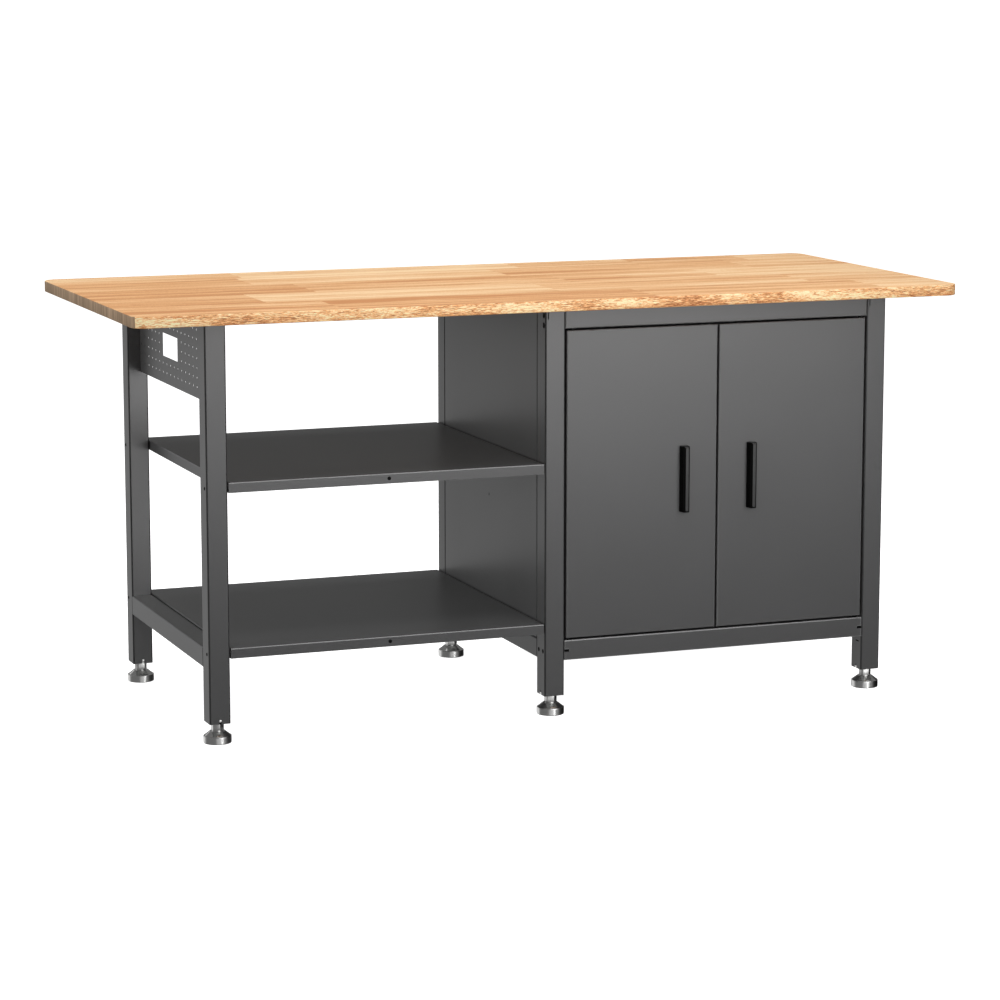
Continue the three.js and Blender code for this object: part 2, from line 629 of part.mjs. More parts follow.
// Strike plate: an angle under the top fold of a door that meets the magnet at the back.
function strikeSection() {
  const leg = new THREE.Shape();
  leg.moveTo(0, 0);
  leg.lineTo(0, -STRIKE_HEIGHT);
  leg.lineTo(-SHEET, -STRIKE_HEIGHT);
  leg.lineTo(-SHEET, -SHEET);
  leg.lineTo(-STRIKE_TOP_LEG, -SHEET);
  leg.lineTo(-STRIKE_TOP_LEG, 0);
  leg.closePath();
  return leg;
}

function door(side, hand) {
  const x = MEETING_X + hand * (DOOR_GAP + DOOR_WIDTH) / 2;
  const z = DOOR_BOTTOM + DOOR_HEIGHT / 2;
  let panel = pan(DOOR_WIDTH, DOOR_HEIGHT, DOOR_DEPTH);
  for (const end of [-1, 1]) {
    const hole = throughBar(hingeHole, 2 * OVERCUT, hand * hingeX, end * DOOR_HEIGHT / 2, -HINGE_FROM_FACE);
    panel = panel.subtract(hole);
  }
  addUpright(`door_${side}`, geometryOf(panel), "greyPaint", TO_FRONT, x, FRONT_Y, z);

  const handleX = MEETING_X + hand * (DOOR_GAP / 2 + HANDLE_FROM_MEETING_EDGE);
  addUpright(`handle_${side}`, handle(), "blackPlastic", TO_FRONT, handleX, FRONT_Y, HANDLE_CENTRE_HEIGHT);

  const stiffenerHeight = DOOR_HEIGHT - 2 * SHEET - 2 * FIT;
  const stiffener = extrude(stiffenerSection(), stiffenerHeight).translate(0, 0, -stiffenerHeight / 2);
  addPiece(`door_stiffener_${side}`, stiffener, "greyPaint", handleX, FRONT_Y + SHEET + FIT, z);

  const strike = extrude(strikeSection(), STRIKE_LENGTH).translate(0, 0, -STRIKE_LENGTH / 2);
  strike.rotateX(Math.PI / 2).rotateZ(Math.PI / 2);
  const strikeX = MEETING_X + hand * (DOOR_GAP / 2 + SHEET + STRIKE_FROM_MEETING_EDGE + STRIKE_LENGTH / 2);
  addPiece(`strike_plate_${side}`, strike, "zinc", strikeX, FRONT_Y + DOOR_DEPTH, DOOR_TOP - SHEET - FIT);

  const pinX = x + hand * hingeX;
  const pinY = FRONT_Y + HINGE_FROM_FACE;
  addPiece(`hinge_pin_upper_${side}`, upperPin(), "blackSteel", pinX, pinY);
  addPiece(`hinge_pin_lower_${side}`, lowerPin(), "blackSteel", pinX, pinY);
}

// Twin magnetic catch under the top rail, behind the meeting edges of the doors.
function magneticCatch() {
  const body = extrudeAlongY(roundedRectangle(CATCH_LENGTH, CATCH_HEIGHT, BEND_RADIUS), CATCH_DEPTH);
  const y = FRONT_Y + DOOR_DEPTH + FIT + CATCH_DEPTH / 2;
  addPiece("magnetic_catch", body, "blackPlastic", MEETING_X, y, TOP_RAIL_BOTTOM - CATCH_HEIGHT / 2);
}

worktop();
legsAndFeet();
sideRails();
openShelf("shelf_middle", MIDDLE_SHELF_TOP);
openShelf("shelf_bottom", BOTTOM_SHELF_TOP);
perforatedPanel();
rearRail();
cabinetWalls();
cabinetFloor();
cabinetTopRail();
cabinetShelf();
door("left", -1);
door("right", 1);
magneticCatch();

export default bench;
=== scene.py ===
# %% [markdown]
# # A workbench with cabinet doors
# The bench is a frame of square steel tube and folded sheet steel under a glued-up wooden worktop. The
# solid model already gives every panel, leg and rail its place, so this lesson loads it as a fixed frame.
# It then works on what the eye reads: the boards, the powder coat, the plated feet, the pulls and the
# fasteners.

import json
import math
import random

import bmesh
import bpy
from mathutils import Matrix, Vector


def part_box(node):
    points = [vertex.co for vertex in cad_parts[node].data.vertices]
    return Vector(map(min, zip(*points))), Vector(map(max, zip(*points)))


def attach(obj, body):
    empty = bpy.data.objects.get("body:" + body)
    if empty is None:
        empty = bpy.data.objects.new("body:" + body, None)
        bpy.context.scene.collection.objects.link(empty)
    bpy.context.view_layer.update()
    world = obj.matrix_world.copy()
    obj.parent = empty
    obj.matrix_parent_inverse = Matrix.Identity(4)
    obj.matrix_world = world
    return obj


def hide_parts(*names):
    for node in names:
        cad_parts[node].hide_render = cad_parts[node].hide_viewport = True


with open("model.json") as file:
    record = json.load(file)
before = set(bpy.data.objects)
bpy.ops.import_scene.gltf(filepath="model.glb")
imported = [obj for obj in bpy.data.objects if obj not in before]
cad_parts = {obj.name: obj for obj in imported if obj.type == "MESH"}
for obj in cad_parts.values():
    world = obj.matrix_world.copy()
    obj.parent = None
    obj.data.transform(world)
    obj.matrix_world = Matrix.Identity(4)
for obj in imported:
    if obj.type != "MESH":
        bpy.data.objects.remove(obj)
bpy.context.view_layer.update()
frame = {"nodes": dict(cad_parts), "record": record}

# %% [markdown]
# ## Camera
# The photograph was taken from the left of the bench, a little above the worktop and from far off, so
# upright edges hardly lean together. A wide lens close by would make them lean, so a long lens on a
# camera some seven metres away is used, which gives the same calm perspective.

# %% Set up the camera
CAMERA_PLACE = (-2.512, -6.652, 1.616)
CAMERA_TILT = 0.166
CAMERA_TURN = -0.36174
CAMERA_LENS = 118.2
SENSOR_WIDTH = 36

camera_data = bpy.data.cameras.new("camera")
camera_data.sensor_width = SENSOR_WIDTH
camera_data.lens = CAMERA_LENS
camera = bpy.data.objects.new("camera", camera_data)
camera.location = CAMERA_PLACE
camera.rotation_euler = (math.pi / 2 - CAMERA_TILT, 0, CAMERA_TURN)
bpy.context.scene.collection.objects.link(camera)
bpy.context.scene.camera = camera
print("camera at", [round(c, 3) for c in camera.location])

# %% [markdown]
# ## Floor
# The bench stands on pale paper. A small sheet would show its far edge, so this one runs far past what
# the camera sees. It glows a little, which keeps it white, and reflections don't see it, so that paint
# and plating show only the boxes and cards that are hung for them.

# %% Lay the floor
FLOOR_REACH = 150
FLOOR_PAPER = {"Base Color": (0.86, 0.86, 0.86, 1), "Roughness": 0.9,
               "Emission Color": (1, 1, 1, 1), "Emission Strength": 1.05}


def set_sockets(shader, values):
    """Sets plain values on a shader's own sockets."""
    for name, value in values.items():
        shader.inputs[name].default_value = value


def plain_finish(name, values):
    """A material of one even colour, for what stands round the bench."""
    material = bpy.data.materials.new(name)
    material.use_nodes = True
    set_sockets(material.node_tree.nodes["Principled BSDF"], values)
    return material


def studio_sheet(name, made, material):
    """Turns a flat bmesh into a sheet of the studio that throws no shadow and no light."""
    mesh = bpy.data.meshes.new(name)
    made.to_mesh(mesh)
    made.free()
    mesh.materials.append(material)
    sheet = bpy.data.objects.new(name, mesh)
    bpy.context.scene.collection.objects.link(sheet)
    sheet.visible_diffuse = False
    sheet.visible_shadow = False
    return sheet


paper = bmesh.new()
bmesh.ops.create_grid(paper, x_segments=1, y_segments=1, size=FLOOR_REACH)
floor = studio_sheet("floor", paper, plain_finish("floor_paper", FLOOR_PAPER))
floor.visible_glossy = False
print("floor reaches", FLOOR_REACH, "m each way")

# %% [markdown]
# ## Lights
# A studio lights such a bench from above with one very wide soft box, from the front with a box and with
# a strip close to the doors, which are therefore lighter at the top, and from the left with a weaker
# panel. Glossy paint shows what stands round it, so cards that only reflections see are hung where its
# faces and folds look: behind, in the open bay, at the rear corner and high in front. Point lights would
# throw hard shadows, so all of these are area lights.

# %% Hang the lights
WORLD_STRENGTH = 0.16

world = bpy.data.worlds.new("studio")
world.use_nodes = True
set_sockets(world.node_tree.nodes["Background"], {"Color": (1, 1, 1, 1), "Strength": WORLD_STRENGTH})
bpy.context.scene.world = world
bpy.context.scene.view_settings.view_transform = "Standard"


def soft_box(name, place, target, size, power, diffuse=True, glossy=True):
    """A rectangular area light that looks at a point and stays out of the picture itself."""
    light_data = bpy.data.lights.new(name, "AREA")
    light_data.shape = "RECTANGLE"
    light_data.size, light_data.size_y = size
    light_data.energy = power
    light = bpy.data.objects.new(name, light_data)
    light.location = place
    light.rotation_euler = (Vector(target) - Vector(place)).to_track_quat("-Z", "Y").to_euler()
    light.visible_camera = False
    light.visible_diffuse = diffuse
    light.visible_glossy = glossy
    bpy.context.scene.collection.objects.link(light)
    return light


overhead_box = soft_box("overhead_box", (0, -0.3, 4.2), (0, -0.3, 0), (5, 4), 181)
soft_box("front_box", (0.85, -3.0, 0.97), (0.85, 0, 0.97), (2.6, 1.55), 27.5)
soft_box("front_strip", (0, -1.08, 0.84), (0, 0, 0.84), (2.2, 0.12), 4, glossy=False)
soft_box("left_panel", (-4.5, 0, 1.2), (0, 0, 0.6), (2.5, 2.5), 66, glossy=False)
soft_box("back_card", (-1.5, 3.5, -0.80), (-1.5, 0, -0.80), (5, 2.6), 13, diffuse=False)
bay_card = soft_box("bay_card", (0.0, -1.5, 0.55), (-0.72, 0.35, 0.55), (0.8, 1.3), 7, diffuse=False)
edge_card = soft_box("edge_card", (0.9, -3.2, 2.6), (0.9, 0, 0.6), (3.5, 1.2), 60, diffuse=False)
soft_box("corner_card", (-2.8, 3.4, 1.5), (-0.3, 0.2, 0.6), (2.6, 1.4), 10, diffuse=False)
rear_box = soft_box("rear_box", (2.4, 4.4, 1.7), (0.3, 0.4, 0.5), (2.4, 2.4), 190)
print("lights:", [light.name for light in bpy.data.lights])

# %% [markdown]
# ## Lights for single pieces
# Light linking names the pieces that a light reaches, where a photographer would shade it off with
# boards. The card in the open bay is for one rear leg, and the box behind the bench is for its back and
# its right side, which show only when one walks round it. Without the links both would spill on other
# pieces.

# %% Link lights to pieces
REAR_NODES = ("back_panel", "side_panel_right", "side_rail_right", "rear_rail", "cabinet_floor",
              "leg_rear_left", "leg_rear_middle", "leg_rear_right", "leg_front_right")


def group_of(name, pieces):
    """A collection that lists pieces for light linking."""
    group = bpy.data.collections.new(name)
    for piece in pieces:
        group.objects.link(piece)
    return group


rear_leg_alone = group_of("rear_leg_alone", [frame["nodes"]["leg_rear_left"]])
bay_card.light_linking.receiver_collection = rear_leg_alone
rear_pieces = group_of("rear_pieces", [frame["nodes"][name] for name in REAR_NODES])
rear_box.light_linking.receiver_collection = rear_pieces

# %% [markdown]
# ## Black flag
# Bright plating only looks like metal when it has something dark to show as well. A photographer stands a
# sheet of black cloth at one side, and the right sides of the feet pick it up. Darkening the metal itself
# would make it look like paint, so the sheet is built, and reflections alone see it.

# %% Stand the flag at the right
FLAG_PLACE = (3.6, 0.1, 0)
FLAG_WIDTH = 5.2
FLAG_HEIGHT = 3.2
FLAG_CLOTH = {"Base Color": (0.001, 0.001, 0.001, 1), "Specular IOR Level": 0}

cloth = bmesh.new()
bmesh.ops.create_grid(cloth, x_segments=1, y_segments=1, size=0.5)
bmesh.ops.scale(cloth, vec=(FLAG_HEIGHT, FLAG_WIDTH, 1), verts=cloth.verts)
on_edge = Matrix.Rotation(math.pi / 2, 3, "Y")
bmesh.ops.rotate(cloth, verts=cloth.verts, cent=(0, 0, 0), matrix=on_edge)
bmesh.ops.translate(cloth, verts=cloth.verts, vec=FLAG_PLACE)
flag = studio_sheet("right_flag", cloth, plain_finish("flag_cloth", FLAG_CLOTH))
flag.visible_camera = False
print("the flag stands", FLAG_PLACE[0], "m to the right")

# %% [markdown]
# ## Nodes and finishes
# A finish is a small tree of shader nodes. Wiring each by hand takes many lines that say little, so a few
# helpers make a node, fill or link its sockets, and add the steps that most finishes share: noise, a
# colour ramp, a change of gloss and a bump. All patterns lie on Object coordinates, so they move with
# their piece.


# %% Make helpers for the finishes
def node(tree, kind, sockets=None, **settings):
    """Adds a shader node, sets its options, and fills or links its sockets by name."""
    made = tree.nodes.new("ShaderNode" + kind)
    for name, value in settings.items():
        setattr(made, name, value)
    for name, value in (sockets or {}).items():
        if isinstance(value, bpy.types.NodeSocket):
            tree.links.new(value, made.inputs[name])
        else:
            made.inputs[name].default_value = value
    return made


def new_finish(name):
    """A material with its node tree, its shader and the place on the piece."""
    material = bpy.data.materials.new(name)
    material.use_nodes = True
    tree = material.node_tree
    return material, tree, tree.nodes["Principled BSDF"], node(tree, "TexCoord").outputs["Object"]


def even_noise(tree, place, scale, detail):
    """Noise of the same scale along every axis."""
    return node(tree, "TexNoise", {"Vector": place, "Scale": scale, "Detail": detail}).outputs["Fac"]


def ramp_colors(tree, factor, stops):
    """A colour ramp from a list of (position, colour)."""
    ramp = node(tree, "ValToRGB", {"Fac": factor})
    elements = ramp.color_ramp.elements
    while len(elements) < len(stops):
        elements.new(0.5)
    for element, (position, color) in zip(elements, stops):
        element.position = position
        element.color = (*color, 1)
    return ramp.outputs["Color"]


def vary_gloss(tree, shader, value, smoothest, roughest):
    """Lets the roughness follow a noise between two limits."""
    gloss = node(tree, "MapRange", {"Value": value, "To Min": smoothest, "To Max": roughest})
    tree.links.new(gloss.outputs["Result"], shader.inputs["Roughness"])


def add_bump(tree, shader, height, strength, distance):
    """Lets the surface rise and fall with a noise."""
    bump = node(tree, "Bump", {"Height": height, "Strength": strength, "Distance": distance})
    tree.links.new(bump.outputs["Normal"], shader.inputs["Normal"])


print("helpers:", ", ".join(f.__name__ for f in (node, new_finish, even_noise, ramp_colors)))

# %% [markdown]
# ## Painted shade and highlights on the edges of the powder coat
# The coat is painted another tone along edges. On the upright bends of the tubes it is painted near
# black, as painted shade for the dark that those bends show. The normal there looks along two axes at
# once, and that finds the bends. The folded edges of doors and trays are painted paler, as painted
# highlights. Their bends are sharp in the mesh, so a bevel node rounds the normal, and where that parts
# from the true one there is an edge. Painting edges by hand would have to be done again for each size.

# %% Find the edges
BEND_RANGE = {"From Min": 0.2, "From Max": 0.5}
FOLD_RADIUS = 0.004
FOLD_SAMPLES = 4
FOLD_RANGE = {"From Min": 0.99, "From Max": 0.86}


def on_upright_bends(tree):
    """1 where a face looks along X and Y at once, as the bends of a square tube do."""
    normal = node(tree, "TexCoord").outputs["Normal"]
    facing = node(tree, "VectorMath", {0: normal}, operation="ABSOLUTE").outputs["Vector"]
    axes = node(tree, "SeparateXYZ", {"Vector": facing}).outputs
    both = node(tree, "Math", {0: axes["X"], 1: axes["Y"]}, operation="MINIMUM").outputs["Value"]
    return node(tree, "MapRange", {"Value": both, **BEND_RANGE}).outputs["Result"]


def on_folded_edges(tree):
    """1 close to an edge, where a rounded normal and the true one part."""
    eased = node(tree, "Bevel", {"Radius": FOLD_RADIUS}, samples=FOLD_SAMPLES).outputs["Normal"]
    true = node(tree, "NewGeometry").outputs["True Normal"]
    parting = node(tree, "VectorMath", {0: eased, 1: true}, operation="DOT_PRODUCT").outputs["Value"]
    return node(tree, "MapRange", {"Value": parting, **FOLD_RANGE}).outputs["Result"]


print("folds are found within", FOLD_RADIUS, "m of an edge")

# %% [markdown]
# ## Powder coat
# Legs, rails, shelves, panels and doors share one finish: charcoal powder, sprayed dry and baked. It
# levels into a skin with a faint orange peel, a gloss between satin and semi-gloss, and almost no change
# of colour. One plain grey would look like plastic, so a fine noise in the bump gives the peel, and a
# wide, weak one lets the tone drift as real coats do.

# %% Mix the powder coat
COAT_DRIFT_SCALE = 2.5
COAT_SPECK_SCALE = 900.0
COAT_SPECK_SHARE = 0.35
COAT_PEEL_SCALE = 420.0
COAT_SHADES = [(0.35, (0.070, 0.070, 0.071)), (0.65, (0.082, 0.082, 0.083))]
COAT_SHEEN = 1.0


def powder_coat(name, find_edges=None, painted_edge_tone=0.0, painted_edge_sheen=COAT_SHEEN):
    """The charcoal coat, with painted light in tone and sheen on the edges that a given finder finds."""
    material, tree, shader, place = new_finish(name)
    drift = even_noise(tree, place, COAT_DRIFT_SCALE, detail=2.0)
    speck = even_noise(tree, place, COAT_SPECK_SCALE, detail=1.0)
    tones = {"Factor": COAT_SPECK_SHARE, "A": drift, "B": speck}
    color = ramp_colors(tree, node(tree, "Mix", tones, data_type="FLOAT").outputs["Result"], COAT_SHADES)
    set_sockets(shader, {"Specular IOR Level": COAT_SHEEN})
    if find_edges:
        # Edges get a painted tone: near black as painted shade on tubes, pale as painted highlights on
        # folds.
        edge = find_edges(tree)
        shades = {"Factor": edge, "A": color, "B": (painted_edge_tone, painted_edge_tone, painted_edge_tone, 1)}
        color = node(tree, "Mix", shades, data_type="RGBA").outputs["Result"]
        if painted_edge_sheen != COAT_SHEEN:
            sheen = node(tree, "MapRange", {"Value": edge, "To Min": COAT_SHEEN, "To Max": painted_edge_sheen})
            tree.links.new(sheen.outputs["Result"], shader.inputs["Specular IOR Level"])
    tree.links.new(color, shader.inputs["Base Color"])
    vary_gloss(tree, shader, speck, smoothest=0.30, roughest=0.38)
    peel = even_noise(tree, place, COAT_PEEL_SCALE, detail=2.0)
    add_bump(tree, shader, peel, strength=0.04, distance=0.001)
    return material


charcoal = powder_coat("charcoal_powder_coat")
# Painted shade: the upright bends of the tubes are painted near black and less glossy.
tube_coat_painted_shade = powder_coat("charcoal_with_painted_shade_on_bends", on_upright_bends, painted_edge_tone=0.006, painted_edge_sheen=0.1)
# Painted highlights: the folded edges of doors and trays are painted paler.
coat_painted_edge_highlights = powder_coat("charcoal_with_painted_edge_highlights", on_folded_edges, painted_edge_tone=0.22)
print("coats:", charcoal.name, tube_coat_painted_shade.name, coat_painted_edge_highlights.name)

# %% [markdown]
# ## Spraying the frame
# The pieces of the frame keep their own meshes and only get a new material. The record of the part says
# which pieces are painted, so the list comes from there. The legs then get the coat with painted shade
# on their bends, and the doors and trays the coat with painted highlights on their edges.

# %% Spray the frame
LEG_PLACES = [f"{row}_{column}" for row in ("front", "rear") for column in ("left", "middle", "right")]
EDGE_HIGHLIGHT_NODES = ["door_left", "door_right", "cabinet_floor", "cabinet_top_rail"]


def coat_nodes(names, material):
    """Gives pieces of the frame a material."""
    for name in names:
        frame["nodes"][name].material_slots[0].material = material
    print(material.name, "on", len(names), "pieces")


def nodes_of(slot_name):
    """The pieces of the frame that the record gives one finish."""
    return [part["node"] for part in frame["record"]["subparts"] if part["material_slot"] == slot_name]


coat_nodes(nodes_of("grey_paint"), charcoal)
coat_nodes([f"leg_{place}" for place in LEG_PLACES], tube_coat_painted_shade)
coat_nodes(EDGE_HIGHLIGHT_NODES, coat_painted_edge_highlights)

# %% [markdown]
# ## Worktop
# The worktop is one glued slab with round corners and eased edges. A box with two bevels makes it: first
# the four upright corners, then the rims above and below, so that the small rounding runs round the large
# one.

# %% Shape the slab
CORNER_RADIUS = 0.030
CORNER_STEPS = 10
EDGE_ROUND = 0.002
EDGE_STEPS = 3


def box_mesh(low, high):
    """A bmesh box between two corners."""
    made = bmesh.new()
    bmesh.ops.create_cube(made, size=1)
    size = Vector(high) - Vector(low)
    bmesh.ops.scale(made, vec=size, verts=made.verts)
    bmesh.ops.translate(made, vec=(Vector(low) + Vector(high)) / 2, verts=made.verts)
    return made


def bevel(made, edges, radius, segments):
    """Rounds edges of a bmesh."""
    return bmesh.ops.bevel(made, geom=edges, offset=radius, offset_type="OFFSET", segments=segments,
                           affect="EDGES", profile=0.5, material=-1, clamp_overlap=True)


def edge_run(edge, axis):
    """How far an edge runs along an axis."""
    return abs(edge.verts[0].co[axis] - edge.verts[1].co[axis])


X, Y, Z = 0, 1, 2
top_low, top_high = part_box("worktop")
slab = box_mesh(top_low, top_high)
bevel(slab, [e for e in slab.edges if edge_run(e, Z) > EDGE_ROUND], CORNER_RADIUS, CORNER_STEPS)
bevel(slab, [e for e in slab.edges if edge_run(e, Z) < EDGE_ROUND], EDGE_ROUND, EDGE_STEPS)
print("slab faces:", len(slab.faces))

# %% [markdown]
# ## Boards
# The slab is glued up from wide boards laid in rows, with the end joints of one row staggered against the
# next. Drawing the joints in the finish would be possible, but real faces let each board carry values of
# its own. So a knife cuts the slab along the rows, and then each row at its joints.

# %% Cut the slab into boards
CREAM, PALE, HONEY, TAN, BROWN, UMBER = 1.6, 1.0, 0.6, 0.35, 0.08, -0.25
BOARD_WIDTH = 0.170
# Rows from the front edge to the back: the end joints along the bench, and the shades between them.
BOARD_ROWS = [
    ((-0.480, 0.210, 0.735), (BROWN, UMBER, TAN, PALE)),
    ((-0.592, 0.057, 0.645), (BROWN, PALE, HONEY, HONEY)),
    ((-0.432, 0.153, 0.510), (UMBER, TAN, TAN, PALE)),
    ((-0.513, 0.075, 0.663), (BROWN, PALE, BROWN, HONEY)),
    ((-0.495, 0.162, 0.453, 0.730), (HONEY, CREAM, HONEY, TAN, HONEY)),
]
TOUCHING = 1e-6


def knife(made, faces, point, across):
    """Cuts a set of faces with a plane."""
    geometry = set(faces)
    for face in faces:
        geometry.update(face.edges)
        geometry.update(face.verts)
    bmesh.ops.bisect_plane(made, geom=list(geometry), plane_co=point, plane_no=across, dist=TOUCHING)


row_lines = [top_low.y + BOARD_WIDTH * row for row in range(1, len(BOARD_ROWS))]
for line in row_lines:
    knife(slab, slab.faces[:], (0, line, 0), (0, 1, 0))
board_rows = list(zip([top_low.y] + row_lines, row_lines + [top_high.y], BOARD_ROWS))
for start, end, (joints, shades) in board_rows:
    for joint in joints:
        row_faces = [f for f in slab.faces if start < f.calc_center_median().y < end]
        knife(slab, row_faces, (joint, 0, 0), (1, 0, 0))
print("worktop faces after the knife:", len(slab.faces))

# %% [markdown]
# ## Tone and grain of each board
# No two boards come from the same place in a tree. Each gets its tone from the rows above and a chance
# offset for its grain, both kept on its faces as attributes that the finish reads. The grain then stops
# at every joint, as it does in real timber. The seed is fixed, so that the worktop is the same each time.

# %% Give each board its tone and grain
TOP_FACE, EDGE_FACE, END_FACE = 0, 1, 2
UPRIGHT = 0.5
END_FACING = 0.82
GRAIN_SPREAD = 40

random.seed(7)
tone_layer = slab.faces.layers.float.new("board_tone")
grain_layer = slab.faces.layers.float.new("board_grain")
for start, end, (joints, shades) in board_rows:
    offsets = [random.uniform(0, GRAIN_SPREAD) for shade in shades]
    for face in slab.faces:
        centre = face.calc_center_median()
        if not start - EDGE_ROUND < centre.y < end + EDGE_ROUND:
            continue
        board = sum(centre.x > joint for joint in joints)
        face[tone_layer] = shades[board]
        face[grain_layer] = offsets[board]
        if abs(face.normal.z) >= UPRIGHT:
            face.material_index = TOP_FACE
        elif abs(face.normal.x) > END_FACING:
            face.material_index = END_FACE
        else:
            face.material_index = EDGE_FACE
print("boards:", sum(len(shades) for joints, shades in BOARD_ROWS))

# %% [markdown]
# ## Wood on the faces
# On the faces the grain runs along the bench: long soft bands of early and late wood, finer streaks and
# fibres, and short dark pores. Each is a noise stretched along the board. They are added up with the
# board's own tone, and a ramp turns the sum into the colours of oiled wood.

# %% Mix the board face
GRAIN_BASE = -2.08
TONE_WEIGHT = 0.42
PORE_RANGE = {"From Min": 0.66, "From Max": 0.74, "To Max": 0.4}
PORE_BROWN = (0.36, 0.17, 0.07, 1)
FACE_SHADES = [(0.0, (0.55, 0.25, 0.10)), (0.30, (0.68, 0.37, 0.17)),
               (0.55, (0.76, 0.46, 0.235)), (1.0, (0.86, 0.62, 0.37))]


def board_place(tree, place):
    """Object coordinates, shifted by each board's own grain offset."""
    offset = node(tree, "Attribute", attribute_name="board_grain").outputs["Fac"]
    shift = node(tree, "CombineXYZ", {"X": offset, "Y": offset, "Z": offset}).outputs["Vector"]
    return node(tree, "VectorMath", {0: place, 1: shift}, operation="ADD").outputs["Vector"]


def stretched_noise(tree, place, scale, detail=3.0, roughness=0.55, distortion=0.0, turn=(0, 0, 0)):
    """Noise with its own scale along each axis, turned by an angle if asked."""
    mapped = node(tree, "Mapping", {"Vector": place, "Rotation": turn, "Scale": scale}).outputs["Vector"]
    sockets = {"Vector": mapped, "Scale": 1.0, "Detail": detail}
    sockets.update({"Roughness": roughness, "Distortion": distortion})
    return node(tree, "TexNoise", sockets).outputs["Fac"]


def weighted(tree, value, weight, added):
    """A value times its weight, plus a number or another value."""
    return node(tree, "Math", {0: value, 1: weight, 2: added}, operation="MULTIPLY_ADD").outputs["Value"]


def board_face_finish():
    """Oiled wood with the grain along the bench."""
    material, tree, shader, place = new_finish("worktop_board_face")
    shifted = board_place(tree, place)
    bands = stretched_noise(tree, shifted, (1.3, 30, 30), detail=4.0, roughness=0.62, distortion=0.5)
    streaks = stretched_noise(tree, shifted, (4, 95, 95), detail=3.0, roughness=0.6, distortion=0.3)
    fibres = stretched_noise(tree, shifted, (14, 420, 420), detail=3.0, roughness=0.6)
    flecks = stretched_noise(tree, shifted, (330, 130, 130), detail=2.0, roughness=0.6)
    pores = stretched_noise(tree, shifted, (40, 900, 900), detail=1.0, roughness=0.5)
    grain = weighted(tree, bands, 2.4, GRAIN_BASE)
    for noise, weight in ((streaks, 1.2), (fibres, 0.5), (flecks, 0.6)):
        grain = weighted(tree, noise, weight, grain)
    tone = node(tree, "Attribute", attribute_name="board_tone").outputs["Fac"]
    wood = ramp_colors(tree, weighted(tree, tone, TONE_WEIGHT, grain), FACE_SHADES)
    pore_mask = node(tree, "MapRange", {"Value": pores, **PORE_RANGE}).outputs["Result"]
    shades = {"Factor": pore_mask, "A": wood, "B": PORE_BROWN}
    final = node(tree, "Mix", shades, data_type="RGBA").outputs["Result"]
    tree.links.new(final, shader.inputs["Base Color"])
    vary_gloss(tree, shader, fibres, smoothest=0.5, roughest=0.66)
    add_bump(tree, shader, fibres, strength=0.12, distance=0.0005)
    set_sockets(shader, {"Specular IOR Level": 0.2})
    return material


face_finish = board_face_finish()
print(face_finish.name, "nodes:", len(face_finish.node_tree.nodes))

# %% [markdown]
# ## Wood on the edges and ends
# The sawn front edge shows the same fibres cut short, so it is livelier: a slanting, rough noise with
# strong contrast. At the ends the boards are cut across, and there the wood is greyer, with upright
# stripes. Both could share the finish of the faces, but the change from face to edge is what tells a slab
# from a sheet.

# %% Mix the sawn edge and the end grain
EDGE_SLANT = math.radians(5)
EDGE_SHADES = [(0.38, (0.40, 0.135, 0.042)), (0.455, (0.80, 0.34, 0.122)),
               (0.515, (1.0, 0.56, 0.24)), (0.58, (1.0, 0.88, 0.54))]
END_SHADES = [(0.32, (0.20, 0.135, 0.085)), (0.5, (0.36, 0.25, 0.16)), (0.68, (0.55, 0.39, 0.255))]


def board_edge_finish():
    """The sawn front and back edges, with short lively fibres."""
    material, tree, shader, place = new_finish("worktop_sawn_edge")
    flame = stretched_noise(tree, place, (62, 60, 540), detail=5.0, roughness=0.70, distortion=1.2,
                            turn=(0, EDGE_SLANT, 0))
    drift = stretched_noise(tree, place, (6, 20, 40), detail=2.0)
    mixed = weighted(tree, drift, 0.4, weighted(tree, flame, 1.0, -0.2))
    tree.links.new(ramp_colors(tree, mixed, EDGE_SHADES), shader.inputs["Base Color"])
    add_bump(tree, shader, flame, strength=0.3, distance=0.0006)
    set_sockets(shader, {"Roughness": 0.6, "Specular IOR Level": 0.3})
    return material


def board_end_finish():
    """End grain: greyer, with upright stripes."""
    material, tree, shader, place = new_finish("worktop_end_grain")
    stripes = stretched_noise(tree, place, (90, 90, 3), detail=3.0, roughness=0.6)
    lines = stretched_noise(tree, place, (420, 420, 20), detail=2.0, roughness=0.6)
    mixed = weighted(tree, stripes, 0.65, weighted(tree, lines, 0.35, 0.0))
    tree.links.new(ramp_colors(tree, mixed, END_SHADES), shader.inputs["Base Color"])
    add_bump(tree, shader, lines, strength=0.2, distance=0.0005)
    set_sockets(shader, {"Roughness": 0.7, "Specular IOR Level": 0.25})
    return material


wood_finishes = [face_finish, board_edge_finish(), board_end_finish()]
print("wood finishes:", [finish.name for finish in wood_finishes])

# %% [markdown]
# ## Fitting a piece to the frame
# Every new piece ends the same way: the bmesh becomes a mesh with soft shading up to a sharp angle, gets
# its finishes, and is tied to the body that it moves with. One helper does that for all of them, so that
# no piece is left behind when a door opens. The worktop is the first, and it replaces the plain slab of
# the frame.

# %% Fit the worktop
SHARP_ANGLE = math.radians(35)


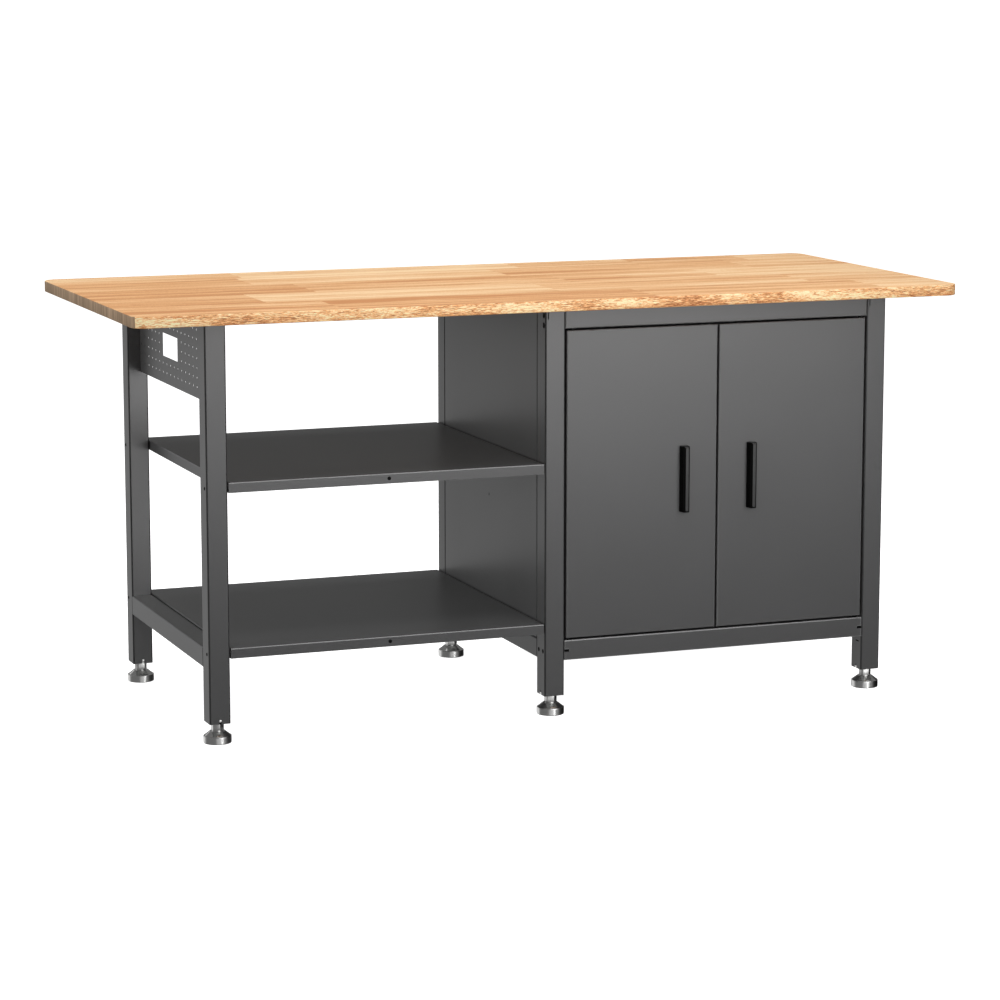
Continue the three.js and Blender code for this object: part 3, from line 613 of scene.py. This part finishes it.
def finish_piece(name, made, materials, body, slot_name, *replaced):
    """Turns a bmesh into a piece of the object that rides on a body."""
    mesh = bpy.data.meshes.new(name)
    for face in made.faces:
        face.smooth = True
    made.to_mesh(mesh)
    made.free()
    mesh.set_sharp_from_angle(angle=SHARP_ANGLE)
    for material in materials:
        mesh.materials.append(material)
    piece = bpy.data.objects.new(name, mesh)
    bpy.context.scene.collection.objects.link(piece)
    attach(piece, body)
    if replaced:
        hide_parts(*replaced)
    print(name, "faces:", len(mesh.polygons))
    return piece


finish_piece("worktop_boards", slab, wood_finishes, "bench", "wood", "worktop")

# %% [markdown]
# ## Plating
# The feet are bright plated steel. Fine rings from the lathe stretch the highlights of the drum, so its
# finish has a tangent round the axis. The cone above it looks smoother and shows dark and light sectors,
# and the flats of the hexagon have no rings at all. One function mixes all three.

# %% Mix the plating
PLATING_SHADES = [(0.3, (0.72, 0.72, 0.71)), (0.7, (0.84, 0.84, 0.83))]


def bright_plating(name, smoothest, roughest, lathe_marks=0):
    """Bright plating, with highlights stretched across the lathe's marks where there are any."""
    material, tree, shader, place = new_finish(name)
    turning = stretched_noise(tree, place, (30, 30, 2200), detail=2.0)
    tree.links.new(ramp_colors(tree, turning, PLATING_SHADES), shader.inputs["Base Color"])
    vary_gloss(tree, shader, turning, smoothest, roughest)
    if lathe_marks:
        round_the_axis = node(tree, "Tangent", direction_type="RADIAL", axis="Z").outputs["Tangent"]
        tree.links.new(round_the_axis, shader.inputs["Tangent"])
        set_sockets(shader, {"Anisotropic": lathe_marks, "Anisotropic Rotation": 0.25})
    set_sockets(shader, {"Metallic": 1.0})
    return material


plating = bright_plating("bright_plating", smoothest=0.26, roughest=0.36)
turned_plating = bright_plating("bright_turned_plating", smoothest=0.26, roughest=0.36, lathe_marks=0.5)
cone_plating = bright_plating("bright_cone_plating", smoothest=0.15, roughest=0.21)
foot_finishes = [turned_plating, plating, cone_plating]
print("foot finishes:", [finish.name for finish in foot_finishes])

# %% [markdown]
# ## Profiles of a foot
# Each foot is turned from bar: a low drum that stands on the floor, a cone, a groove under the spanner
# hexagon, and a threaded stud that goes into the leg. A lathe follows a profile, and so does the spin
# operator. Extra points close to each edge keep the flats flat when they are shaded softly. The thread is
# a row of rings, because a true helix would show no difference at this size.

# %% Draw the profiles
FOOT_BASE_TOP = 0.016
FOOT_CONE_TOP = 0.0250
FOOT_CONE_RADIUS = 0.0165
FOOT_GROOVE_RADIUS = 0.0115
FOOT_HEX_BOTTOM = 0.0272
FOOT_ROUND = 0.0015
ROUND_MIDDLE = 0.3
FLAT_START = 1.4
CONE_SHARES = (0, 0.08, 0.92, 1)
STUD_RADIUS = 0.006
THREAD_PITCH = 0.00175
THREAD_DEPTH = 0.0008


def drum_edge(radius, height, inward):
    """Points of a rounding on the drum, from its flat side to the middle of its curve."""
    steps = ((0, FLAT_START), (0, 1), (ROUND_MIDDLE, ROUND_MIDDLE))
    return [(radius - across * FOOT_ROUND, height + inward * up * FOOT_ROUND) for across, up in steps]


def foot_profile(radius):
    """Drum, cone and a groove under the hexagon, as (radius, height) points."""
    rim = radius - FOOT_ROUND
    cone_foot = Vector((rim, FOOT_BASE_TOP))
    cone_head = Vector((FOOT_CONE_RADIUS, FOOT_CONE_TOP))
    cone = [tuple(cone_foot.lerp(cone_head, share)) for share in CONE_SHARES]
    drum = [(0, 0), (rim, 0)] + drum_edge(radius, 0, 1)[::-1] + drum_edge(radius, FOOT_BASE_TOP, -1)
    groove = [(FOOT_GROOVE_RADIUS, FOOT_CONE_TOP), (FOOT_GROOVE_RADIUS, FOOT_HEX_BOTTOM)]
    return drum + cone + groove + [(0, FOOT_HEX_BOTTOM)]


def stud_profile(bottom, top):
    """A threaded stud: one ridge and one valley to every turn of the thread."""
    ridges = int((top - bottom) / THREAD_PITCH)
    profile = [(0, bottom)]
    for ridge in range(ridges):
        height = bottom + ridge * THREAD_PITCH
        profile += [(STUD_RADIUS - THREAD_DEPTH, height), (STUD_RADIUS, height + THREAD_PITCH / 2)]
    return profile + [(STUD_RADIUS - THREAD_DEPTH, top), (0, top)]


print("points in the profile of a foot:", len(foot_profile(2 * FOOT_CONE_RADIUS)))

# %% [markdown]
# ## Levelling feet
# Six feet carry the bench, and each was left turned a little differently when it was levelled. The
# profile is spun round the foot's own axis, a six-sided cone shape with equal ends makes the hexagon, and
# the stud is spun on top. All three become one piece, which slides with its foot.

# %% Turn the feet
FOOT_SPIN_STEPS = 64
STUD_SPIN_STEPS = 24
HEX_SIDES = 6
FOOT_HEX_WIDTH = 0.024
HEX_EDGE_ROUND = 0.0006
HEX_EDGE_STEPS = 2
NEAR = 1e-4
DRUM_FACE, HEX_FACE, CONE_FACE = 0, 1, 2
# How far each hexagon was left turned when the bench was levelled, in degrees.
FOOT_TURNS = {"front_left": 6, "front_middle": 14, "front_right": 18,
              "rear_left": 25, "rear_middle": 15, "rear_right": 40}


def turned(made, profile, centre, steps):
    """Spins a profile of (radius, height) points about the upright axis through a centre."""
    places = [centre + Vector((radius, 0, height)) for radius, height in profile]
    points = [made.verts.new(place) for place in places]
    edges = [made.edges.new(pair) for pair in zip(points, points[1:])]
    bmesh.ops.spin(made, geom=points + edges, cent=centre, axis=(0, 0, 1), angle=2 * math.pi,
                   steps=steps, use_merge=True)
    bmesh.ops.remove_doubles(made, verts=made.verts, dist=TOUCHING)


def spanner_hexagon(made, centre, height, turn):
    """A hexagon with eased edges on top of the groove, turned by an angle in degrees."""
    radius = FOOT_HEX_WIDTH / math.sqrt(3)
    corners = bmesh.ops.create_cone(made, cap_ends=True, segments=HEX_SIDES, radius1=radius,
                                    radius2=radius, depth=height)["verts"]
    middle = centre + Vector((0, 0, FOOT_HEX_BOTTOM + height / 2))
    bmesh.ops.translate(made, verts=corners, vec=middle)
    turning = Matrix.Rotation(math.radians(turn), 3, "Z")
    bmesh.ops.rotate(made, verts=corners, cent=centre, matrix=turning)
    for face in {f for v in corners for f in v.link_faces}:
        face.material_index = HEX_FACE
    edges = {e for v in corners for e in v.link_edges}
    bevel(made, list(edges), HEX_EDGE_ROUND, HEX_EDGE_STEPS)


def levelling_foot(place):
    """One foot, from the floor to the end of its stud inside the leg."""
    node_name = f"foot_{place}"
    low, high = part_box(node_name)
    centre = Vector(((low.x + high.x) / 2, (low.y + high.y) / 2, low.z))
    leg_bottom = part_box(f"leg_{place}")[0].z
    made = bmesh.new()
    turned(made, foot_profile((high.x - low.x) / 2), centre, FOOT_SPIN_STEPS)
    for face in made.faces:
        height = face.calc_center_median().z - centre.z
        on_cone = FOOT_BASE_TOP < height < FOOT_CONE_TOP - NEAR
        face.material_index = CONE_FACE if on_cone else DRUM_FACE
    spanner_hexagon(made, centre, leg_bottom - FOOT_HEX_BOTTOM, FOOT_TURNS[place])
    turned(made, stud_profile(leg_bottom - centre.z, high.z - centre.z), centre, STUD_SPIN_STEPS)
    bmesh.ops.recalc_face_normals(made, faces=made.faces)
    name = f"levelling_foot_{place}"
    return finish_piece(name, made, foot_finishes, f"{place}_foot", "bright_nickel", node_name)


feet = [levelling_foot(place) for place in LEG_PLACES]

# %% [markdown]
# ## Cards for the feet
# Plated metal has no colour of its own and only shows what stands round it. A photographer puts small
# white cards low down beside such feet, and a pale one high above for the cones. These cards are linked
# to the feet and the plugs behind the notches, so the paint keeps its own light. The legs don't shade the
# high card. The box overhead and the card for edges would burn hot spots into the cones, so the feet are
# left out of both.

# %% Place the cards
plugs_behind_notches = [frame["nodes"][f"leg_plug_{place}"] for place in LEG_PLACES]
feet_alone = group_of("feet_alone", feet + plugs_behind_notches)
cards = [
    soft_box("foot_front_card", (-0.4, -4.0, -0.74), (0, 0, -0.74), (3.6, 2), 10),
    soft_box("foot_left_card", (-2.6, 3.4, -0.74), (0, 0, -0.74), (4, 2), 10),
    soft_box("foot_streak_card", (0.98, -3.85, -0.67), (0, 0, -0.67), (0.5, 1.5), 7),
    soft_box("cone_card", (0.4, 0.9, 5.2), (0.4, 0.9, 0), (4.4, 2.4), 40),
]
for card in cards:
    card.light_linking.receiver_collection = feet_alone
cards[-1].light_linking.blocker_collection = group_of("turned_feet", feet)

without_feet = group_of("without_feet", feet)
for member in without_feet.collection_objects:
    member.light_linking.link_state = "EXCLUDE"
for light in (overhead_box, edge_card):
    light.light_linking.receiver_collection = without_feet

# %% [markdown]
# ## Black finishes and zinc
# The pulls are satin black and show a faint grain. Their fronts and tops are painted greyer and glossier
# than their sides, as a painted highlight. Pins and bolts are blackened, the catch is moulded, and the
# small hidden hardware is zinc plated, with the clouded spangle that zinc has. One function mixes all the
# blacks, because only their shade, roughness and sheen differ.

# %% Mix the hardware finishes
BLACK_GRAIN_SCALE = 1300.0
BLACK_LOW, BLACK_HIGH = 0.75, 1.4
SPANGLE_SCALE = 220.0
SPANGLE_SHARE = 0.4
CLOUD_SCALE = 90.0
ZINC_SHADES = [(0.2, (0.48, 0.49, 0.48)), (0.8, (0.62, 0.63, 0.62))]


def satin_black(name, roughness, sheen, shade=0.004):
    """A black finish with a fine grain, a little darker and lighter than its shade."""
    material, tree, shader, place = new_finish(name)
    grain = even_noise(tree, place, BLACK_GRAIN_SCALE, detail=2.0)
    stops = [(0.3, [BLACK_LOW * shade] * 3), (0.7, [BLACK_HIGH * shade] * 3)]
    tree.links.new(ramp_colors(tree, grain, stops), shader.inputs["Base Color"])
    add_bump(tree, shader, grain, strength=0.05, distance=0.0004)
    set_sockets(shader, {"Roughness": roughness, "Specular IOR Level": sheen})
    return material


def zinc_plate():
    """Zinc plating with its clouded spangle."""
    material, tree, shader, place = new_finish("zinc_plate")
    spangle = node(tree, "TexVoronoi", {"Vector": place, "Scale": SPANGLE_SCALE}).outputs["Color"]
    cloud = even_noise(tree, place, CLOUD_SCALE, detail=3.0)
    tones = {"Factor": SPANGLE_SHARE, "A": cloud, "B": spangle}
    mixed = node(tree, "Mix", tones, data_type="FLOAT").outputs["Result"]
    tree.links.new(ramp_colors(tree, mixed, ZINC_SHADES), shader.inputs["Base Color"])
    vary_gloss(tree, shader, mixed, smoothest=0.28, roughest=0.45)
    set_sockets(shader, {"Metallic": 1.0})
    return material


handle_sides = satin_black("handle_sides", roughness=0.55, sheen=0.03)
# Painted highlight: a greyer, glossier copy of the black for the fronts and tops of the pulls.
handle_painted_highlight = satin_black("handle_painted_highlight", roughness=0.5, sheen=0.30, shade=0.060)
catch_black = satin_black("catch_black", roughness=0.5, sheen=0.05)
zinc = zinc_plate()
black_oxide = satin_black("black_oxide", roughness=0.5, sheen=0.03)
coat_nodes(nodes_of("zinc_steel"), zinc)
coat_nodes(nodes_of("black_steel"), black_oxide)
coat_nodes(nodes_of("catch_plastic"), catch_black)

# %% [markdown]
# ## Pull handles
# The pulls are solid black bars: a flat foot on the door, a hollow down each side for the fingertips and
# a rounded bead at the front. A box is divided along its depth, and its rings of points are drawn in to
# form the hollow and the curve of the bead. A bevel could not round the bead, because the close rings
# would stop it, so bevels round only the ends and the last fine edge.

# %% Shape the pulls
HANDLE_RINGS = 21
HANDLE_WAIST = 0.40
HANDLE_BEAD = 0.74
HANDLE_FOOT_DEPTH = 0.16
HANDLE_BEAD_START = 0.72
HANDLE_END_ROUND = 0.004
HANDLE_END_STEPS = 4
HANDLE_EDGE_ROUND = 0.0003
HANDLE_EDGE_STEPS = 3
LONG_EDGE = 0.01
SAME_DEPTH = 1e-5
FRONT_FACING = 0.98
# The bead's rounding, as shares of the pull's depth, width and length.
BEAD_ROUND_DEPTH = 0.20
BEAD_ROUND_WIDTH = 0.40
BEAD_ROUND_LENGTH = 0.045


def bead_round(depth):
    """How far the bead has curved in: 0 where it starts, 1 at its front."""
    turn = max(0, depth - 1 + BEAD_ROUND_DEPTH) / BEAD_ROUND_DEPTH
    return 1 - math.sqrt(max(0, 1 - turn * turn))


def pull_width(depth):
    """Share of the full width at a depth from the door (0) to the bead (1)."""
    if depth < HANDLE_FOOT_DEPTH:
        return 1.0
    if depth > HANDLE_BEAD_START:
        return HANDLE_BEAD - BEAD_ROUND_WIDTH * bead_round(depth)
    turn = (depth - HANDLE_FOOT_DEPTH) / (HANDLE_BEAD_START - HANDLE_FOOT_DEPTH)
    straight = 1.0 + (HANDLE_BEAD - 1.0) * turn
    hollow = (1.0 + HANDLE_BEAD) / 2 - HANDLE_WAIST
    return straight - math.sin(math.pi * turn) * hollow


def pull_handle(side):
    """One pull on its door, with a painted highlight on its front and top."""
    node_name = f"handle_{side}"
    low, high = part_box(node_name)
    made = box_mesh(low, high)
    depth_edges = [e for e in made.edges if edge_run(e, Y) > LONG_EDGE]
    bmesh.ops.subdivide_edges(made, edges=depth_edges, cuts=HANDLE_RINGS, use_grid_fill=True)
    middle = (low + high) / 2
    for vertex in made.verts:
        depth = (high.y - vertex.co.y) / (high.y - low.y)
        length = 1 - BEAD_ROUND_LENGTH * bead_round(depth)
        vertex.co.x = middle.x + (vertex.co.x - middle.x) * pull_width(depth)
        vertex.co.z = middle.z + (vertex.co.z - middle.z) * length
    corners = [e for e in made.edges if edge_run(e, Y) > SAME_DEPTH]
    bevel(made, corners, HANDLE_END_ROUND, HANDLE_END_STEPS)
    rim = [e for e in made.edges if all(abs(v.co.y - low.y) < SAME_DEPTH for v in e.verts)]
    bevel(made, rim, HANDLE_EDGE_ROUND, HANDLE_EDGE_STEPS)
    bmesh.ops.recalc_face_normals(made, faces=made.faces)
    made.normal_update()
    # Faces that look forward or up get the painted highlight.
    for face in made.faces:
        on_front = face.normal.y < -FRONT_FACING and face.calc_center_median().y < low.y + NEAR
        face.material_index = int(on_front or face.normal.z > UPRIGHT)
    finishes = [handle_sides, handle_painted_highlight]
    return finish_piece(f"pull_handle_{side}", made, finishes, f"{side}_door", "handle_black", node_name)


for side in ("left", "right"):
    pull_handle(side)

# %% [markdown]
# ## Bolts
# Bolts and rivets are small, but the eye finds them at once. Each head is a low dome spun round an axis
# and then turned to look out of its face, seated a little into it so that no gap shows. Those of one kind
# are made as one piece. The shelves hang on bolts through the left legs, and two more hold the middle
# rail.

# %% Set the bolts
HEAD_SEAT = 0.0003
HEAD_SPIN_STEPS = 20
# The curve of a dome, as shares of its radius and height.
DOME_SHARES = ((0, 1), (0.5, 0.88), (0.85, 0.5), (1, 0))
LEFT, RIGHT, FRONT, BACK = (-1, 0, 0), (1, 0, 0), (0, -1, 0), (0, 1, 0)
# Heads are given as a radius and a height.
SHELF_BOLT = (0.0038, 0.0012)
SHELF_BOLT_DROP = 0.012
SHELF_BOLT_FROM_FRONT = 0.0145
SHELF_BOLT_FROM_REAR = 0.0155
RAIL_BOLT = (0.0050, 0.0006)
RAIL_BOLT_HEIGHT = 0.140
RAIL_BOLT_REACHES = (0.0112, 0.0350)


def domed_head(made, place, facing, head):
    """A low dome on a face at a place, looking along a direction."""
    radius, height = head
    before = set(made.verts)
    dome = [(across * radius, up * height) for across, up in DOME_SHARES]
    seat = [(radius, -HEAD_SEAT), (0, -HEAD_SEAT)]
    turned(made, dome + seat, Vector((0, 0, 0)), HEAD_SPIN_STEPS)
    fresh = [v for v in made.verts if v not in before]
    turn = Vector((0, 0, 1)).rotation_difference(Vector(facing)).to_matrix()
    bmesh.ops.rotate(made, verts=fresh, cent=(0, 0, 0), matrix=turn)
    bmesh.ops.translate(made, verts=fresh, vec=place)


def heads_piece(name, places, facing, head, material, slot_name, body="bench"):
    """Several heads of one kind as one piece."""
    made = bmesh.new()
    for place in places:
        domed_head(made, place, facing, head)
    bmesh.ops.recalc_face_normals(made, faces=made.faces)
    return finish_piece(name, made, [material], body, slot_name)


leg_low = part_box("leg_front_left")[0]
rear_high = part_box("leg_rear_left")[1]
shelf_heights = [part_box(f"shelf_{level}")[1].z - SHELF_BOLT_DROP for level in ("middle", "bottom")]
bolt_depths = (leg_low.y + SHELF_BOLT_FROM_FRONT, rear_high.y - SHELF_BOLT_FROM_REAR)
shelf_bolts = [(leg_low.x, depth, height) for depth in bolt_depths for height in shelf_heights]
heads_piece("shelf_bolts", shelf_bolts, LEFT, SHELF_BOLT, black_oxide, "black_steel")
middle_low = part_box("leg_front_middle")[0]
rail_bolts = [(middle_low.x, middle_low.y + reach, RAIL_BOLT_HEIGHT) for reach in RAIL_BOLT_REACHES]
heads_piece("rail_bolts", rail_bolts, LEFT, RAIL_BOLT, black_oxide, "black_steel")

# %% [markdown]
# ## Rivets and screws
# A rivet in each side panel holds the bracket of the cabinet shelf, and rivets along both sides hold the
# back panel. They were painted with the frame, so they wear its coat. The pulls are held by two screws
# each, whose heads show on the stiffener when a door is open, and these ride on the doors.

# %% Set the rivets and screws
RIVET = (0.0036, 0.0008)
BRACKET_RIVET_SHIFT = 0.003
BACK_RIVET_INSET = 0.012
BACK_RIVET_SHARES = (0.06, 0.5, 0.94)
PULL_SCREW = (0.0045, 0.0022)
PULL_SCREW_INSET = 0.024

bracket_low, bracket_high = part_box("shelf_bracket_left")
bracket_middle = (bracket_low + bracket_high) / 2
rivet_depth = bracket_middle.y + BRACKET_RIVET_SHIFT
near_rivet = (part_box("side_panel_middle")[0].x, rivet_depth, bracket_middle.z)
# The near rivet wears the tube coat, whose painted shade darkens the sloping sides of its dome.
heads_piece("side_rivet_middle", [near_rivet], LEFT, RIVET, tube_coat_painted_shade, "grey_paint")
far_rivet = (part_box("side_panel_right")[1].x, rivet_depth, bracket_middle.z)
far_head = heads_piece("side_rivet_right", [far_rivet], RIGHT, RIVET, charcoal, "grey_paint")

back_low, back_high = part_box("back_panel")
rivet_columns = (back_low.x + BACK_RIVET_INSET, back_high.x - BACK_RIVET_INSET)
rivet_heights = [back_low.z + share * (back_high.z - back_low.z) for share in BACK_RIVET_SHARES]
back_rivets = [(x, back_high.y, height) for x in rivet_columns for height in rivet_heights]
back_heads = heads_piece("back_rivets", back_rivets, BACK, RIVET, charcoal, "grey_paint")
for heads in (far_head, back_heads):
    rear_pieces.objects.link(heads)

for side in ("left", "right"):
    screw_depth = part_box(f"door_stiffener_{side}")[1].y
    pull_low, pull_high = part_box(f"handle_{side}")
    pull_x = (pull_low.x + pull_high.x) / 2
    heights = (pull_low.z + PULL_SCREW_INSET, pull_high.z - PULL_SCREW_INSET)
    screws = [(pull_x, screw_depth, height) for height in heights]
    heads_piece(f"handle_screws_{side}", screws, BACK, PULL_SCREW, zinc, "zinc_steel", f"{side}_door")

# %% [markdown]
# ## Plugs and hooks
# The lip of each open shelf has a round hole in its middle, and a black plug in it is painted shade for
# the dark inside of the hole. The cabinet floor hangs in the front legs on two hooks that show at the
# ends of its lip, and their black is painted shade for the dark of the slots there. The plugs are low
# domes again. The hooks are small blocks with eased edges, and a helper makes such blocks of one size as
# one piece.

# %% Plug the lip holes and hang the floor on its hooks, in black as painted shade
LIP_PLUG = (0.0040, 0.0006)
HOOK_SIZE = Vector((0.0108, 0.0014, 0.0056))
HOOK_DROP = 0.0010
HOOK_PROUD = 0.0002
BLOCK_ROUND = 0.0004
BLOCK_ROUND_STEPS = 2

shelf_boxes = [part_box(f"shelf_{level}") for level in ("middle", "bottom")]
lip_holes = [((low.x + high.x) / 2, low.y, (low.z + high.z) / 2) for low, high in shelf_boxes]
# Painted shade: black domes stand in for the dark inside of the lip holes.
heads_piece("lip_plugs_as_painted_shade", lip_holes, FRONT, LIP_PLUG, catch_black, "catch_plastic")


def rounded_blocks(name, corners, size, material, slot_name):
    """Small blocks of one size with eased edges, as one piece on the bench."""
    made = bmesh.new()
    for corner in corners:
        block = box_mesh(corner, Vector(corner) + Vector(size))
        bevel(block, block.edges[:], BLOCK_ROUND, BLOCK_ROUND_STEPS)
        spare = bpy.data.meshes.new("block")
        block.to_mesh(spare)
        block.free()
        made.from_mesh(spare)
        bpy.data.meshes.remove(spare)
    return finish_piece(name, made, [material], "bench", slot_name)


floor_low, floor_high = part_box("cabinet_floor")
hook_bottom = (floor_low.z + floor_high.z - HOOK_SIZE.z) / 2 - HOOK_DROP
hook_starts = (floor_low.x, floor_high.x - HOOK_SIZE.x)
hooks = [(start, floor_low.y - HOOK_PROUD, hook_bottom) for start in hook_starts]
# Partly painted shade: the hooks hold the floor, and their black stands in for the dark of the slots.
rounded_blocks("floor_hooks_as_painted_shade", hooks, HOOK_SIZE, black_oxide, "black_steel")

# %% [markdown]
# ## Notches in the legs
# The lower end of each leg has a small notch, and something bright shows in it. On the left legs the
# notch is at the front, on the others at the left. Leaving the notches empty would show only the dark
# inside of the tube, so a plated tab closes each. Below the tab of the left front leg the notch is filled
# with black, as painted shade.

# %% Fill the notches
FRONT_TAB = Vector((0.0046, 0.0018, 0.0050))
FRONT_TAB_BOTTOM = 0.0472
SIDE_TAB = Vector((0.0018, 0.0090, 0.0050))
SIDE_TAB_BOTTOM = 0.0432
TAB_PROUD = 0.0002

front_tabs = []
side_tabs = []
for place in LEG_PLACES:
    tube_low, tube_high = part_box(f"leg_{place}")
    if place.endswith("left"):
        start = (tube_low.x + tube_high.x - FRONT_TAB.x) / 2
        front_tabs.append((start, tube_low.y - TAB_PROUD, FRONT_TAB_BOTTOM))
    else:
        start = (tube_low.y + tube_high.y - SIDE_TAB.y) / 2
        side_tabs.append((tube_low.x - TAB_PROUD, start, SIDE_TAB_BOTTOM))
tabs = (("notch_tabs_front", front_tabs, FRONT_TAB), ("notch_tabs_side", side_tabs, SIDE_TAB))
for name, corners, size in tabs:
    feet_alone.objects.link(rounded_blocks(name, corners, size, plating, "bright_nickel"))
# Painted shade: a black block fills the notch below the tab of the left front leg.
painted_shade_bottom = leg_low.z + TAB_PROUD
painted_shade_size = (FRONT_TAB.x, FRONT_TAB.y, FRONT_TAB_BOTTOM - painted_shade_bottom)
painted_shade_corner = (front_tabs[0][X], front_tabs[0][Y], painted_shade_bottom)
rounded_blocks("notch_painted_shade", [painted_shade_corner], painted_shade_size, catch_black, "catch_plastic")

# %% [markdown]
# ## Slots in the legs
# The front legs of the cabinet show a narrow dark slot on their inner sides, low down. Cutting it would
# change the solid tube, so a black cap lies on each place instead, as painted shade for the dark inside
# of the slot. It stands a hair proud of the tube, so that its outline is seen.

# %% Close the slots in the legs
SLOT_SHADE_BLOCK = Vector((0.0015, 0.014, 0.003))
SLOT_PROUD = 0.0003
SLOT_FROM_FRONT = 0.012
SLOT_BOTTOM = 0.1043

right_leg_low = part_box("leg_front_right")[0]
middle_leg_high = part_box("leg_front_middle")[1]
shade_block_starts = (right_leg_low.x - SLOT_PROUD, middle_leg_high.x + SLOT_PROUD - SLOT_SHADE_BLOCK.x)
slot_caps = [(start, right_leg_low.y + SLOT_FROM_FRONT, SLOT_BOTTOM) for start in shade_block_starts]
# Painted shade: black blocks stand in for the dark inside of the slots.
rounded_blocks("leg_slot_painted_shade", slot_caps, SLOT_SHADE_BLOCK, catch_black, "catch_plastic")
